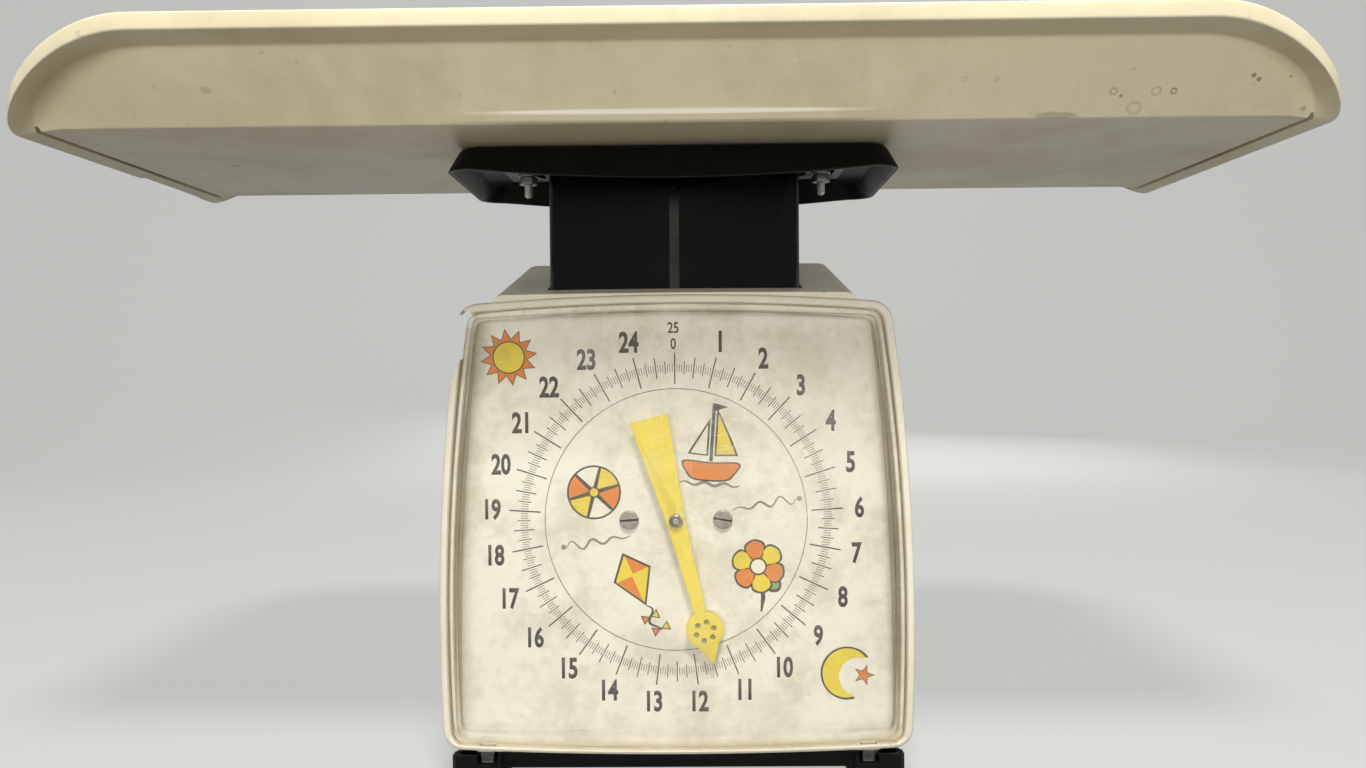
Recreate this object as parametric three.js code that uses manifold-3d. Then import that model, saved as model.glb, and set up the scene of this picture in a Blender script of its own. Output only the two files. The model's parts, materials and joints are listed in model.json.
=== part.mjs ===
// A nursery scale: a trough-shaped weighing tray on a sprung column, over a housing with a round dial.
// Millimetres, +Z up. The dial faces -Y, and the origin lies on the floor under the middle of the tray.
import * as THREE from 'three';
import { mergeVertices } from 'three/addons/utils/BufferGeometryUtils.js';
import Module from 'manifold-3d';

const wasm = await Module();
wasm.setup();

// Driving sizes

const gap = {
  seat: 0.3, // between pieces that rest on each other
  running: 0.2, // round a shaft that turns
  bolt: 0.4, // round a screw or bolt in its hole
  slide: 1.2, // round the column where it passes the roof
  overrun: 4, // how far a cutting shape runs past what it cuts
};

const travel = {
  perTurn: 20, // platform travel for one turn of the pointer
  up: 9.2, // from the pose shown to an empty reading of zero
  down: 10.8, // from the pose shown to a full reading
};

const tray = {
  length: 546,
  width: 258,
  sideFlange: 19.5, // from the rim in to the fold over the wall
  wallRun: 22.5,
  wallRise: 27.8,
  endFlange: 7.3,
  endSlope: 8.2, // from the end flange in to the panel
  cornerLength: 67, // how far the rim's corner reaches along X
  cornerDepth: 40, // how far it comes in along Y
  endCreaseDrop: 1,
  endFlangeDrop: 3.7, // the end flange lies this far under the panel
  lip: 7.2,
  thickness: 2.8,
  lipThickness: 3,
  sideStations: 2,
  cornerStations: 10,
  endStations: 2,
};

const support = {
  topHalf: 96,
  topDepthHalf: 46,
  rimFrontHalf: 102.4,
  rimBackHalf: 107,
  rimDepthHalf: 51,
  drop: 11.4, // from the top to the rim, at the corners
  dip: 4.7, // extra depth of the rim in the middle of a side
  wall: 2.7,
  shoulder: 1.8,
  corner: 12,
  sideSteps: 6,
  cornerSteps: 3,
};

const column = {
  width: 119.5,
  depth: 48,
  wall: 2,
  flangeRun: 24,
  flangeDepth: 40,
  slotWidth: 4.6,
  slotTop: 13, // under the column's top
  slotFoot: 20, // under the pointer's axis
  head: 169.7, // above the pointer's axis
  backFoot: 8, // where its back wall ends, above the upper lever
  foot: 64, // under the pointer's axis
};

const trayBolt = { spacing: 146, radius: 2, headRadius: 4.2, headHeight: 2, below: 14, sides: 16 };
const trayWasher = { radius: 5, thickness: 1 };
const trayNut = { radius: 4.5, height: 3.6 };

const bezel = {
  topHalf: 98.6,
  bottomHalf: 107,
  height: 206.1, // between its corners
  cornerLift: 3, // its lower corners above the housing's bottom edge
  sideBulge: 5.1,
  topBulge: 4.2,
  bottomBulge: 3,
  corner: 9,
  front: -44,
  depth: 7.8,
  lip: 4.4,
  lipRound: 3,
  lipInnerRound: 0.8,
  ledge: 2.5,
  ledgeRun: 9.6,
};

const shell = {
  topHalf: 84.7,
  bottomHalf: 97,
  frontRoof: 214.1, // roof height over the housing's bottom edge, at the bezel
  roofRise: 25.3,
  back: 78,
  sideBulge: 3.2,
  roofBulge: 0.6,
  corner: 5,
  backRound: 8,
  wall: 2.5,
};

const lens = {
  thickness: 1.8,
  flangeRun: 4,
  proud: 8, // of the bezel's front
  faceTopHalf: 89.3,
  faceBottomHalf: 96.3,
  faceTopDrop: 7,
  faceBottomLift: 17,
  faceCorner: 5,
  faceRound: 1.4,
  bulgeShare: 0.33, // of the bezel's bulges
  tabWidth: 6.9,
  tabTipWidth: 5,
  tabDrop: 3.5,
  tabSpacing: 177,
};

const dial = {
  height: 108.8, // its centre above the housing's bottom
  thickness: 0.8,
  holeRadius: 4.5,
};
const dialScrew = {
  spacing: 43.6,
  headRadius: 4.5,
  headHeight: 1.4,
  radius: 1.6,
  slot: 1.1,
  slotDepth: 0.7,
};
const dialPost = { radius: 4 };

const pointer = {
  tip: 68.8,
  headCentre: 52,
  headRadius: 8.7,
  shoulderShare: 0.3, // of half a turn, where the head's round ends
  armWidth: 5.4,
  hubWidth: 9,
  tail: 48.7,
  tailWidth: 18,
  thickness: 0.8,
  reading: 165.6, // degrees clockwise from zero
  offDial: 3.8, // its back above the dial's face
};

const shaft = { radius: 1.5, boreSides: 16 };
const hub = { radius: 3.2, cap: 1.5, sleeveRadius: 2.2, sleeve: 1.5, proud: 0.5 };
const bush = { radius: 4, flangeRadius: 6, flange: 1, front: 2, behind: 0.9 };

const gear = {
  teeth: 12,
  addendum: 0.46,
  dedendum: 0.62,
  toothShare: 0.4,
  tipShare: 0.45,
  rootShare: 1.35,
  face: 3.6,
};
const rack = {
  spare: 2.2, // teeth past the travel
  backing: 2.5,
  width: 5.8,
  foot: 23,
  head: 25,
};
const rackScrew = { radius: 1.2, headRadius: 2.4, headHeight: 1.4, inset: 5, grip: 3.4 };

const frontPlate = { width: 64, thickness: 1.5, above: 26, foot: 12 };
const bracket = { sheet: 1.2, foot: 11, offset: 6, height: 12, legPast: 4.2, reach: 7.6 };

const base = {
  padDrop: 3,
  padSize: 26,
  floor: 3,
  plinth: 7.2,
  frontHalf: 105,
  frontInset: 1, // its front corners behind the bezel's front
  recess: 4.5, // the front's middle behind its corners
  recessHalf: 82,
  wall: 2.5,
  rim: 8, // height inside the housing
  rimFront: 14, // behind the bezel
  corner: 6,
  bendShare: 0.3, // how far in its corners' middle lies
};

const foot = { radius: 9, height: 5, chamfer: 1, inset: 13, stem: 2.6, plug: 4, plugHeight: 2.2, sides: 14 };
const housingScrew = { radius: 1.6, headRadius: 3.6, headHeight: 1.8, lift: 4, front: 4, spacing: 52 };

const frame = {
  sheet: 2,
  halfWidth: 68,
  front: -30,
  back: 72,
  depth: 28,
  headroom: 43.3, // from its top up to the height of the housing's roof at the back
  tab: 12,
};
const frameScrew = { radius: 2, headRadius: 4, headHeight: 2.2, inset: 8 };
const bridge = { thickness: 2, bore: 3.1 };
const bridgeScrew = { radius: 1.6, headRadius: 3, headHeight: 1.8 };

const lever = {
  length: 57,
  height: 8,
  sheet: 2.5,
  upper: 21.3, // below the frame's top
  lower: 43, // below the pointer's axis
  pivotBack: 5, // its fixed pivot in front of the frame's back edge
  barShare: 0.46, // place of the cross bar, as a share of its length
  barHeight: 5,
  outerGap: 1.9, // between lever and column
};
const leverRod = { radius: 2, slotPlay: 1.6, lift: 0.6, headRadius: 3.2, headHeight: 1.2 };

const carriage = {
  sheet: 2,
  tab: 16,
  tabFront: 12,
  tabDepth: 14,
  tongueHalf: 38,
  tongueBack: 67,
  gusset: 2,
};
const rivet = { radius: 1.6, headRadius: 3, headHeight: 1.2, rise: 9 };
const stop = { radius: 8, headRadius: 10, head: 6, chamfer: 1.2 };

const spring = {
  radius: 6,
  wire: 0.9, // radius
  turns: 11,
  spacing: 52,
  place: 57, // behind the tray's middle
  tail: 4,
  sides: 5,
  steps: 8,
};
const yoke = { halfWidth: 36, depth: 9, height: 5, drop: 12 };
const zeroScrew = { radius: 2.5, above: 9 };
const zeroWheel = { radius: 23.5, height: 6, lift: 2, knurls: 18, knurlDepth: 0.8, bore: 2.8 };
const wheelSlot = { play: 1.5 };

// Levels and places that follow from them

const level = {};
level.pad = foot.height;
level.floorUnder = level.pad + base.padDrop;
level.floor = level.floorUnder + base.floor;
level.housing = level.floorUnder + base.plinth;
level.axis = level.housing + dial.height;
level.frameFloor = level.floor + gap.seat;
level.frameTop = level.housing + shell.frontRoof + shell.roofRise - frame.headroom;
level.bridge = level.frameTop + gap.seat;
level.wheel = level.bridge + bridge.thickness + zeroWheel.lift;
level.upperLever = level.frameTop - lever.upper;
level.lowerLever = level.axis - lever.lower;
level.columnFoot = level.axis - column.foot;
level.yoke = level.frameTop - yoke.drop - yoke.height;

const bezelBack = bezel.front + bezel.depth;
const recessFloor = bezelBack - bezel.ledge;
const dialBack = recessFloor - gap.seat;
const dialFront = dialBack - dial.thickness;
const lensBack = dialFront - gap.seat;
const plateFront = bezelBack + gap.seat;
const plateBack = plateFront + frontPlate.thickness;
const columnFront = -column.depth / 2;
const columnBack = column.depth / 2;
const pointerBack = dialFront - pointer.offDial;
const pointerFront = pointerBack - pointer.thickness;
const pivotY = frame.back - lever.pivotBack;
const pinY = pivotY - lever.length;

// The tray's panel lies over the support, whose top lies over the column's flanges.
level.columnTop = level.axis + column.head;
level.supportInner = level.columnTop + gap.seat;
level.supportTop = level.supportInner + support.wall;
level.trayUnder = level.supportTop + gap.seat;
level.trayFloor = level.trayUnder + tray.thickness;

const pitchRadius = travel.perTurn / (2 * Math.PI);
const toothPitch = travel.perTurn / gear.teeth;

// Materials

function paint(color, roughness, metalness = 0) {
  return new THREE.MeshStandardMaterial({ color, roughness, metalness });
}

const creamPlastic = paint(0xe9e3cf, 0.38);
const trayPlastic = paint(0xe3dcc4, 0.42);
const blackPlastic = paint(0x15140f, 0.45);
const blackPaint = paint(0x0e0e10, 0.5, 0.2);
const zinc = paint(0xb9b7ac, 0.35, 0.9);
const steel = paint(0x8d8d8a, 0.4, 0.9);
const brass = paint(0xb59a52, 0.35, 0.9);
const rubber = paint(0x1b1a18, 0.85);
const yellowPaint = paint(0xe6d25c, 0.45);
const dialCard = paint(0xeeebdf, 0.6);
const clearPlastic = new THREE.MeshStandardMaterial({
  color: 0xf2f2ec, roughness: 0.1, metalness: 0, transparent: true, opacity: 0.25,
});

// Geometry helpers

function toSolid(geometry) {
  const bare = geometry.clone();
  bare.deleteAttribute('normal');
  bare.deleteAttribute('uv');
  const merged = mergeVertices(bare);
  return new wasm.Manifold(new wasm.Mesh({
    numProp: 3,
    vertProperties: new Float32Array(merged.attributes.position.array),
    triVerts: new Uint32Array(merged.index.array),
  }));
}

function toGeometry(solid) {
  const mesh = solid.getMesh();
  const geometry = new THREE.BufferGeometry();
  geometry.setAttribute('position', new THREE.BufferAttribute(new Float32Array(mesh.vertProperties), 3));
  geometry.setIndex(new THREE.BufferAttribute(new Uint32Array(mesh.triVerts), 1));
  geometry.computeVertexNormals();
  return geometry;
}

const bothSides = (spacing) => [-spacing / 2, spacing / 2];
const ordered = (a, b) => [Math.min(a, b), Math.max(a, b)];
const join = (...solids) => solids.reduce((whole, piece) => whole.add(piece));
const cut = (body, ...tools) => tools.reduce((left, tool) => left.subtract(tool), body);

// A flat outline, pushed along an axis. Its points are (y, z) for x, (x, z) for y and (x, y) for z.
function push(axis, points, from, to) {
  const shape = new THREE.Shape(points.map(([u, v]) => new THREE.Vector2(u, v)));
  const geometry = new THREE.ExtrudeGeometry(shape, { depth: to - from, bevelEnabled: false });
  const turn = new THREE.Matrix4();
  if (axis === 'x') {
    turn.set(0, 0, 1, from, 1, 0, 0, 0, 0, 1, 0, 0, 0, 0, 0, 1);
  } else if (axis === 'y') {
    turn.set(1, 0, 0, 0, 0, 0, -1, to, 0, 1, 0, 0, 0, 0, 0, 1);
  } else {
    turn.set(1, 0, 0, 0, 0, 1, 0, 0, 0, 0, 1, from, 0, 0, 0, 1);
  }
  return toSolid(geometry.applyMatrix4(turn));
}

function block(x, y, z) {
  const outline = [[x[0], y[0]], [x[1], y[0]], [x[1], y[1]], [x[0], y[1]]];
  return push('z', outline, z[0], z[1]);
}

function circle(radius, sides, centre = [0, 0], turn = 0) {
  return Array.from({ length: sides }, (_, i) => {
    const angle = turn + (i * 2 * Math.PI) / sides;
    return [centre[0] + radius * Math.cos(angle), centre[1] + radius * Math.sin(angle)];
  });
}

function rod(axis, radius, from, to, centre = [0, 0], sides = 16) {
  return push(axis, circle(radius, sides, centre), from, to);
}

// Rings of points with as many points each, skinned and closed at both ends, faces outward.
function loft(rings) {
  const count = rings[0].length;
  const positions = rings.flat();
  const triangles = [];
  for (let r = 0; r + 1 < rings.length; r += 1) {
    for (let i = 0; i < count; i += 1) {
      const a = r * count + i;
      const b = r * count + ((i + 1) % count);
      triangles.push([a, a + count, b], [b, a + count, b + count]);
    }
  }
  const middle = (ring) => ring[0].map((_, k) => ring.reduce((sum, p) => sum + p[k], 0) / count);
  const first = positions.push(middle(rings[0])) - 1;
  const last = positions.push(middle(rings[rings.length - 1])) - 1;
  const start = (rings.length - 1) * count;
  for (let i = 0; i < count; i += 1) {
    const next = (i + 1) % count;
    triangles.push([first, i, next], [last, start + next, start + i]);
  }
  const at = (index) => new THREE.Vector3(...positions[index]);
  const volume = triangles.reduce((sum, [a, b, c]) => sum + at(a).dot(at(b).cross(at(c))), 0);
  const facing = volume < 0 ? triangles.map(([a, b, c]) => [a, c, b]) : triangles;
  const geometry = new THREE.BufferGeometry();
  geometry.setAttribute('position', new THREE.Float32BufferAttribute(positions.flat(), 3));
  geometry.setIndex(facing.flat());
  return toSolid(geometry);
}

// A body of revolution from [place, radius] pairs along an axis.
function turned(axis, profile, centre = [0, 0], sides = 16) {
  const place = {
    x: (at, [u, v]) => [at, u, v],
    y: (at, [u, v]) => [u, at, v],
    z: (at, [u, v]) => [u, v, at],
  }[axis];
  return loft(profile.map(([at, radius]) => circle(radius, sides, centre).map((point) => place(at, point))));
}

// A screw with a low domed head. It runs from `seat` towards `tip`, with its head on the other side.
function screw(axis, seat, tip, size, centre, sides = 8) {
  const away = Math.sign(seat - tip);
  const rimShare = 0.55;
  const crownShare = 0.62;
  return join(
    turned(axis, [[seat, size.headRadius], [seat + away * size.headHeight * rimShare, size.headRadius],
      [seat + away * size.headHeight, size.headRadius * crownShare]], centre, sides),
    rod(axis, size.radius, Math.min(seat, tip), Math.max(seat, tip), centre, sides),
  );
}

// A four-cornered outline with bulging sides and rounded corners, as (x, z) points.
function pillow(size, inset = 0, steps = { side: 6, corner: 3 }) {
  const corners = [
    [size.bottomHalf - inset, size.bottom + inset], [size.topHalf - inset, size.top - inset],
    [-size.topHalf + inset, size.top - inset], [-size.bottomHalf + inset, size.bottom + inset],
  ];
  const bulges = [size.sideBulge, size.topBulge, size.sideBulge, size.bottomBulge];
  const side = (k) => {
    const [a, b] = [corners[k], corners[(k + 1) % corners.length]];
    const length = Math.hypot(b[0] - a[0], b[1] - a[1]);
    const normal = [(b[1] - a[1]) / length, (a[0] - b[0]) / length];
    const edge = size.corner / length;
    return Array.from({ length: steps.side + 1 }, (_, i) => {
      const t = edge + ((1 - 2 * edge) * i) / steps.side;
      const lift = 4 * bulges[k] * t * (1 - t);
      return [a[0] + (b[0] - a[0]) * t + normal[0] * lift, a[1] + (b[1] - a[1]) * t + normal[1] * lift];
    });
  };
  const sides = corners.map((_, k) => side(k));
  return sides.flatMap((points, k) => {
    const from = points[points.length - 1];
    const to = sides[(k + 1) % sides.length][0];
    const peak = corners[(k + 1) % corners.length];
    const bend = [];
    for (let i = 1; i < steps.corner; i += 1) {
      const t = i / steps.corner;
      bend.push([0, 1].map((n) => (1 - t) ** 2 * from[n] + 2 * t * (1 - t) * peak[n] + t * t * to[n]));
    }
    return [...points, ...bend];
  });
}

const standing = (outline, y) => outline.map(([x, z]) => [x, y, z]);

// Tray

// One quarter of the tray, from the middle of its front to the middle of an end. Each station gives, in plan
// and height, the panel's edge, the fold between wall and flange, and the flange's outer edge.
function trayQuarter() {
  const [edgeX, edgeY] = [tray.length / 2, tray.width / 2];
  const foldX = edgeX - tray.endFlange;
  const panelX = foldX - tray.endSlope;
  const panelY = edgeY - tray.sideFlange - tray.wallRun;
  const straightX = edgeX - tray.cornerLength;
  const low = -tray.endFlangeDrop;
  const stations = [];
  for (let i = 0; i < tray.sideStations; i += 1) {
    const x = (straightX * i) / tray.sideStations;
    stations.push({
      panel: [x, -panelY, 0],
      fold: [x, -panelY - tray.wallRun, tray.wallRise],
      edge: [x, -edgeY, tray.wallRise],
    });
  }
  for (let i = 0; i <= tray.cornerStations; i += 1) {
    const angle = (i / tray.cornerStations) * (Math.PI / 2);
    const [along, high] = [Math.sin(angle), Math.cos(angle)];
    const reach = (end) => straightX + (end - straightX) * along;
    const foldZ = (tray.wallRise + tray.endCreaseDrop) * high - tray.endCreaseDrop;
    const edgeZ = low + (tray.wallRise - low) * high ** 2;
    stations.push({
      panel: [reach(panelX), -panelY, 0],
      fold: [reach(foldX), -panelY - tray.wallRun * high, foldZ],
      edge: [reach(edgeX), -edgeY + tray.cornerDepth * (1 - high), edgeZ],
    });
  }
  for (let i = 1; i <= tray.endStations; i += 1) {
    const left = 1 - i / tray.endStations;
    stations.push({
      panel: [panelX, -panelY * left, 0],
      fold: [foldX, -panelY * left, -tray.endCreaseDrop],
      edge: [edgeX, (-edgeY + tray.cornerDepth) * left, low],
    });
  }
  return stations;
}

// The tray's section at a station, from the panel's underside out round the lip to the panel's top.
function traySection({ panel, fold, edge }) {
  const wide = Math.hypot(edge[0] - panel[0], edge[1] - panel[1]);
  const out = [(edge[0] - panel[0]) / wide, (edge[1] - panel[1]) / wide];
  const at = (point, run, rise) => [point[0] + out[0] * run, point[1] + out[1] * run, point[2] + rise];
  const leg = (a, b) => {
    const run = Math.hypot(b[0] - a[0], b[1] - a[1]);
    const length = Math.hypot(run, b[2] - a[2]);
    return [-(b[2] - a[2]) / length, run / length];
  };
  const miter = (a, b) => {
    const sum = [a[0] + b[0], a[1] + b[1]];
    const size = Math.hypot(...sum);
    const scale = tray.thickness / ((sum[0] * a[0] + sum[1] * a[1]) / size);
    return [(sum[0] / size) * scale, (sum[1] / size) * scale];
  };
  const [wall, flange] = [leg(panel, fold), leg(fold, edge)];
  const [lipTop, lipIn] = [tray.lip, tray.lipThickness];
  const footShare = 0.08;
  const softShare = 0.3;
  const between = (a, b, share) => a.map((value, k) => value + (b[k] - value) * share);
  return [
    panel,
    between(panel, fold, footShare),
    between(fold, panel, footShare),
    between(fold, edge, footShare),
    edge,
    at(edge, 0, lipTop * (1 - softShare)),
    at(edge, -lipIn * softShare, lipTop),
    at(edge, -lipIn * (1 - softShare), lipTop),
    at(edge, -lipIn, lipTop * (1 - softShare)),
    at(edge, -lipIn, tray.thickness),
    at(fold, ...miter(wall, flange)),
    at(panel, ...miter([0, 1], wall)),
  ];
}

function makeTray() {
  const quarter = trayQuarter();
  const flip = (stations, sx, sy) => stations.map((station) => Object.fromEntries(
    Object.entries(station).map(([key, [x, y, z]]) => [key, [x * sx, y * sy, z]]),
  ));
  const back = [...quarter].reverse();
  const around = [
    ...flip(quarter, 1, 1).slice(0, -1), ...flip(back, 1, -1).slice(0, -1),
    ...flip(quarter, -1, -1).slice(0, -1), ...flip(back, -1, 1).slice(0, -1),
  ].map(traySection);
  const rings = around[0].map((_, k) => around.map((section) => section[k])
    .map(([x, y, z]) => [x, y, z + level.trayUnder]));
  return cut(loft(rings), ...trayBoltHoles(level.trayUnder, level.trayFloor));
}

const trayBoltPlaces = bothSides(trayBolt.spacing).map((x) => [x, 0]);

function trayBoltHoles(low, high) {
  return trayBoltPlaces.map((place) => rod('z', trayBolt.radius + gap.bolt, low - gap.overrun,
    high + gap.overrun, place, trayBolt.sides));
}

// Support under the tray, an upside-down pan with flared sides

function supportOutline(front, back, depth, inset, height) {
  const points = [];
  const half = (y) => front + ((back - front) * (y + depth)) / (2 * depth) - inset;
  const reach = depth - inset;
  const corner = support.corner - inset;
  const add = (x, y) => points.push([x, y, height(x, y)]);
  const quarter = (sx, sy, reverse) => {
    const arc = [];
    for (let i = 0; i <= support.cornerSteps; i += 1) {
      const angle = (i / support.cornerSteps) * (Math.PI / 2);
      const y = sy * (reach - corner + corner * Math.sin(angle));
      arc.push([sx * (half(y) - corner + corner * Math.cos(angle)), y]);
    }
    return reverse ? arc.reverse() : arc;
  };
  const side = (sy, sx) => {
    const end = half(sy * reach) - corner;
    for (let i = 1; i < support.sideSteps; i += 1) {
      add(sx * end * (1 - (2 * i) / support.sideSteps), sy * reach);
    }
  };
  quarter(1, -1, true).forEach(([x, y]) => add(x, y));
  quarter(1, 1, false).forEach(([x, y]) => add(x, y));
  side(1, 1);
  quarter(-1, 1, true).forEach(([x, y]) => add(x, y));
  quarter(-1, -1, false).forEach(([x, y]) => add(x, y));
  side(-1, -1);
  return points;
}

function makeSupport() {
  const rimHeight = (x, y) => {
    const across = Math.min(1, Math.abs(x) / (support.rimFrontHalf - support.corner));
    const onSide = Math.abs(y) > support.rimDepthHalf - support.corner ? 1 : 0;
    return level.supportTop - support.drop - support.dip * onSide * (1 - across ** 2);
  };
  const flat = (z) => () => z;
  const { topHalf, topDepthHalf, rimFrontHalf, rimBackHalf, rimDepthHalf } = support;
  const top = (inset, z) => supportOutline(topHalf, topHalf, topDepthHalf, inset, flat(z));
  const rim = (inset) => supportOutline(rimFrontHalf, rimBackHalf, rimDepthHalf, inset, rimHeight);
  const pan = loft([
    top(support.shoulder, level.supportTop),
    top(0, level.supportTop - support.shoulder),
    rim(0),
    rim(support.wall),
    top(support.wall, level.supportInner),
  ]);
  return cut(pan, ...trayBoltHoles(level.supportInner, level.supportTop));
}

function makeTrayBolt(place) {
  const tip = level.supportInner - trayBolt.below;
  return screw('z', level.trayFloor + gap.seat, tip, trayBolt, place, trayBolt.sides);
}

const washerTop = level.columnTop - column.wall - gap.seat;
const nutTop = washerTop - trayWasher.thickness - gap.seat;

function makeTrayWasher(place) {
  const low = washerTop - trayWasher.thickness;
  return cut(
    rod('z', trayWasher.radius, low, washerTop, place, trayBolt.sides),
    rod('z', trayBolt.radius + gap.seat, low - gap.overrun, washerTop + gap.overrun, place, trayBolt.sides),
  );
}

function makeTrayNut(place) {
  const low = nutTop - trayNut.height;
  return cut(
    rod('z', trayNut.radius, low, nutTop, place, 6),
    rod('z', trayBolt.radius + gap.seat, low - gap.overrun, nutTop + gap.overrun, place, trayBolt.sides),
  );
}

// Column, a box of bent sheet whose back is open below, where the levers are

function makeColumn() {
  const half = column.width / 2;
  const inner = half - column.wall;
  const innerFront = columnFront + column.wall;
  const channel = push('z', [
    [-half, columnFront], [half, columnFront], [half, columnBack], [inner, columnBack],
    [inner, innerFront], [-inner, innerFront], [-inner, columnBack], [-half, columnBack],
  ], level.columnFoot, level.columnTop);
  const back = block([-half, half], [columnBack - column.wall, columnBack],
    [level.upperLever + column.backFoot, level.columnTop]);
  const flanges = [-1, 1].map((side) => block(
    ordered(side * (half - column.wall / 2), side * (half + column.flangeRun)),
    [-column.flangeDepth / 2, column.flangeDepth / 2],
    [level.columnTop - column.wall, level.columnTop],
  ));
  const slotHalf = column.slotWidth / 2;
  const slotEnd = level.columnTop - column.slotTop - slotHalf;
  const slotY = [columnFront - gap.overrun, innerFront + gap.overrun];
  const slot = join(
    block([-slotHalf, slotHalf], slotY, [level.axis - column.slotFoot, slotEnd]),
    rod('y', slotHalf, ...slotY, [0, slotEnd]),
  );
  const pinSlots = [level.upperLever, level.lowerLever].map((z) => {
    const high = leverRod.radius + leverRod.lift;
    const long = leverRod.radius + leverRod.slotPlay;
    return block([-half - gap.overrun, half + gap.overrun], [pinY - long, pinY + long], [z - high, z + high]);
  });
  const across = [-half - gap.overrun, half + gap.overrun];
  const rivetHole = rod('x', rivet.radius + gap.seat, ...across, rivetPlace, 10);
  const rackHoles = rackScrewPlaces()
    .map((place) => rod('y', rackScrew.radius + gap.seat, ...slotY, place, 10));
  const boltHoles = trayBoltHoles(level.columnTop - column.wall, level.columnTop);
  return cut(join(channel, back, ...flanges), slot, ...boltHoles, ...pinSlots, rivetHole, ...rackHoles);
}

const rivetPlace = [
  columnFront + carriage.tabFront + carriage.tabDepth / 2,
  level.columnFoot + carriage.sheet + rivet.rise,
];

function makeCarriage() {
  const inside = column.width / 2 - column.wall - gap.seat;
  const z = [level.columnFoot, level.columnFoot + carriage.sheet];
  const front = columnFront + column.wall + gap.seat;
  const { tongueHalf, tongueBack } = carriage;
  const floor = push('z', [
    [-inside, front], [inside, front], [inside, columnBack], [tongueHalf, columnBack],
    [tongueHalf, tongueBack], [-tongueHalf, tongueBack], [-tongueHalf, columnBack], [-inside, columnBack],
  ], ...z);
  const tabY = [columnFront + carriage.tabFront, columnFront + carriage.tabFront + carriage.tabDepth];
  const tabs = [-1, 1].map((side) => block(ordered(side * inside, side * (inside - carriage.sheet)), tabY,
    [z[0], z[0] + carriage.tab]));
  const ribs = [-1, 1].map((side) => block(
    ordered(side * tongueHalf, side * (tongueHalf - carriage.gusset)),
    [front, tongueBack],
    [z[0], z[1] + carriage.gusset * 2],
  ));
  const hole = rod('x', rivet.radius + gap.seat, -inside - gap.overrun, inside + gap.overrun, rivetPlace, 10);
  return cut(join(floor, ...tabs, ...ribs), hole);
}

function makeRivet(side) {
  const outside = column.width / 2 + gap.seat;
  const inside = column.width / 2 - column.wall - gap.seat - carriage.sheet - gap.seat;
  const closing = [[side * inside, rivet.headRadius], [side * (inside - rivet.headHeight), rivet.radius]];
  return join(
    screw('x', side * outside, side * inside, rivet, rivetPlace),
    turned('x', closing, rivetPlace, 10),
  );
}

// Pinion and rack

function makePinion() {
  const z = level.axis;
  const half = (gear.toothShare * toothPitch) / 2 / pitchRadius;
  const [tip, root] = [pitchRadius + gear.addendum, pitchRadius - gear.dedendum];
  const points = [];
  for (let k = 0; k < gear.teeth; k += 1) {
    const middle = ((k + 0.5) * 2 * Math.PI) / gear.teeth;
    const flank = [[root, gear.rootShare], [pitchRadius, 1], [tip, gear.tipShare]];
    const add = ([radius, share], side) => {
      const angle = middle + side * half * share;
      points.push([radius * Math.cos(angle), z + radius * Math.sin(angle)]);
    };
    flank.forEach((point) => add(point, -1));
    flank.reverse().forEach((point) => add(point, 1));
  }
  return cut(push('y', points, pinionFront, pinionBack), shaftBore(pinionFront, pinionBack));
}

// The bore for the pointer's shaft, run out past both faces.
function shaftBore(front, back) {
  return rod('y', shaft.radius + gap.running, front - gap.overrun, back + gap.overrun, [0, level.axis],
    shaft.boreSides);
}

const pinionFront = plateBack + gap.seat + bush.behind + gap.seat;
const pinionBack = pinionFront + gear.face;

// The rack's teeth stand a half pitch off the pinion's, which has a gap on its +X side.
function makeRack() {
  const pitchX = pitchRadius;
  const back = pitchX + gear.dedendum + gap.seat;
  const [low, high] = [level.axis - rack.foot, level.axis + rack.head];
  const points = [[back + rack.width, low], [back + rack.width, high], [back, high]];
  const half = (gear.toothShare * toothPitch) / 2;
  const lowest = -Math.ceil((travel.up + rack.spare) / toothPitch);
  const highest = Math.ceil((travel.down + rack.spare) / toothPitch);
  for (let k = highest; k >= lowest; k -= 1) {
    const z = level.axis + k * toothPitch;
    const flank = [
      [back, half * gear.rootShare], [pitchX, half], [pitchX - gear.addendum, half * gear.tipShare],
    ];
    flank.forEach(([x, rise]) => points.push([x, z + rise]));
    flank.reverse().forEach(([x, rise]) => points.push([x, z - rise]));
  }
  points.push([back, low]);
  const rear = columnFront - gap.seat;
  const toothed = push('y', points, pinionFront, rear);
  const clearBehind = block([0, back + rack.backing - gap.seat], [pinionBack + gap.seat, rear + gap.overrun],
    [low - gap.overrun, high + gap.overrun]);
  const holes = rackScrewPlaces().map((place) => rod('y', rackScrew.radius + gap.seat, rear - rackScrew.grip,
    rear + gap.overrun, place, 10));
  return cut(toothed, clearBehind, ...holes);
}

function rackScrewPlaces() {
  const back = pitchRadius + gear.dedendum + gap.seat;
  const x = back + (rack.backing + rack.width) / 2;
  return [[x, level.axis - rack.foot + rackScrew.inset], [x, level.axis + rack.head - rackScrew.inset]];
}

function makeRackScrew(place) {
  return screw('y', columnFront + column.wall + gap.seat, columnFront - rackScrew.grip, rackScrew, place);
}

// Pointer and its shaft

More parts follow.
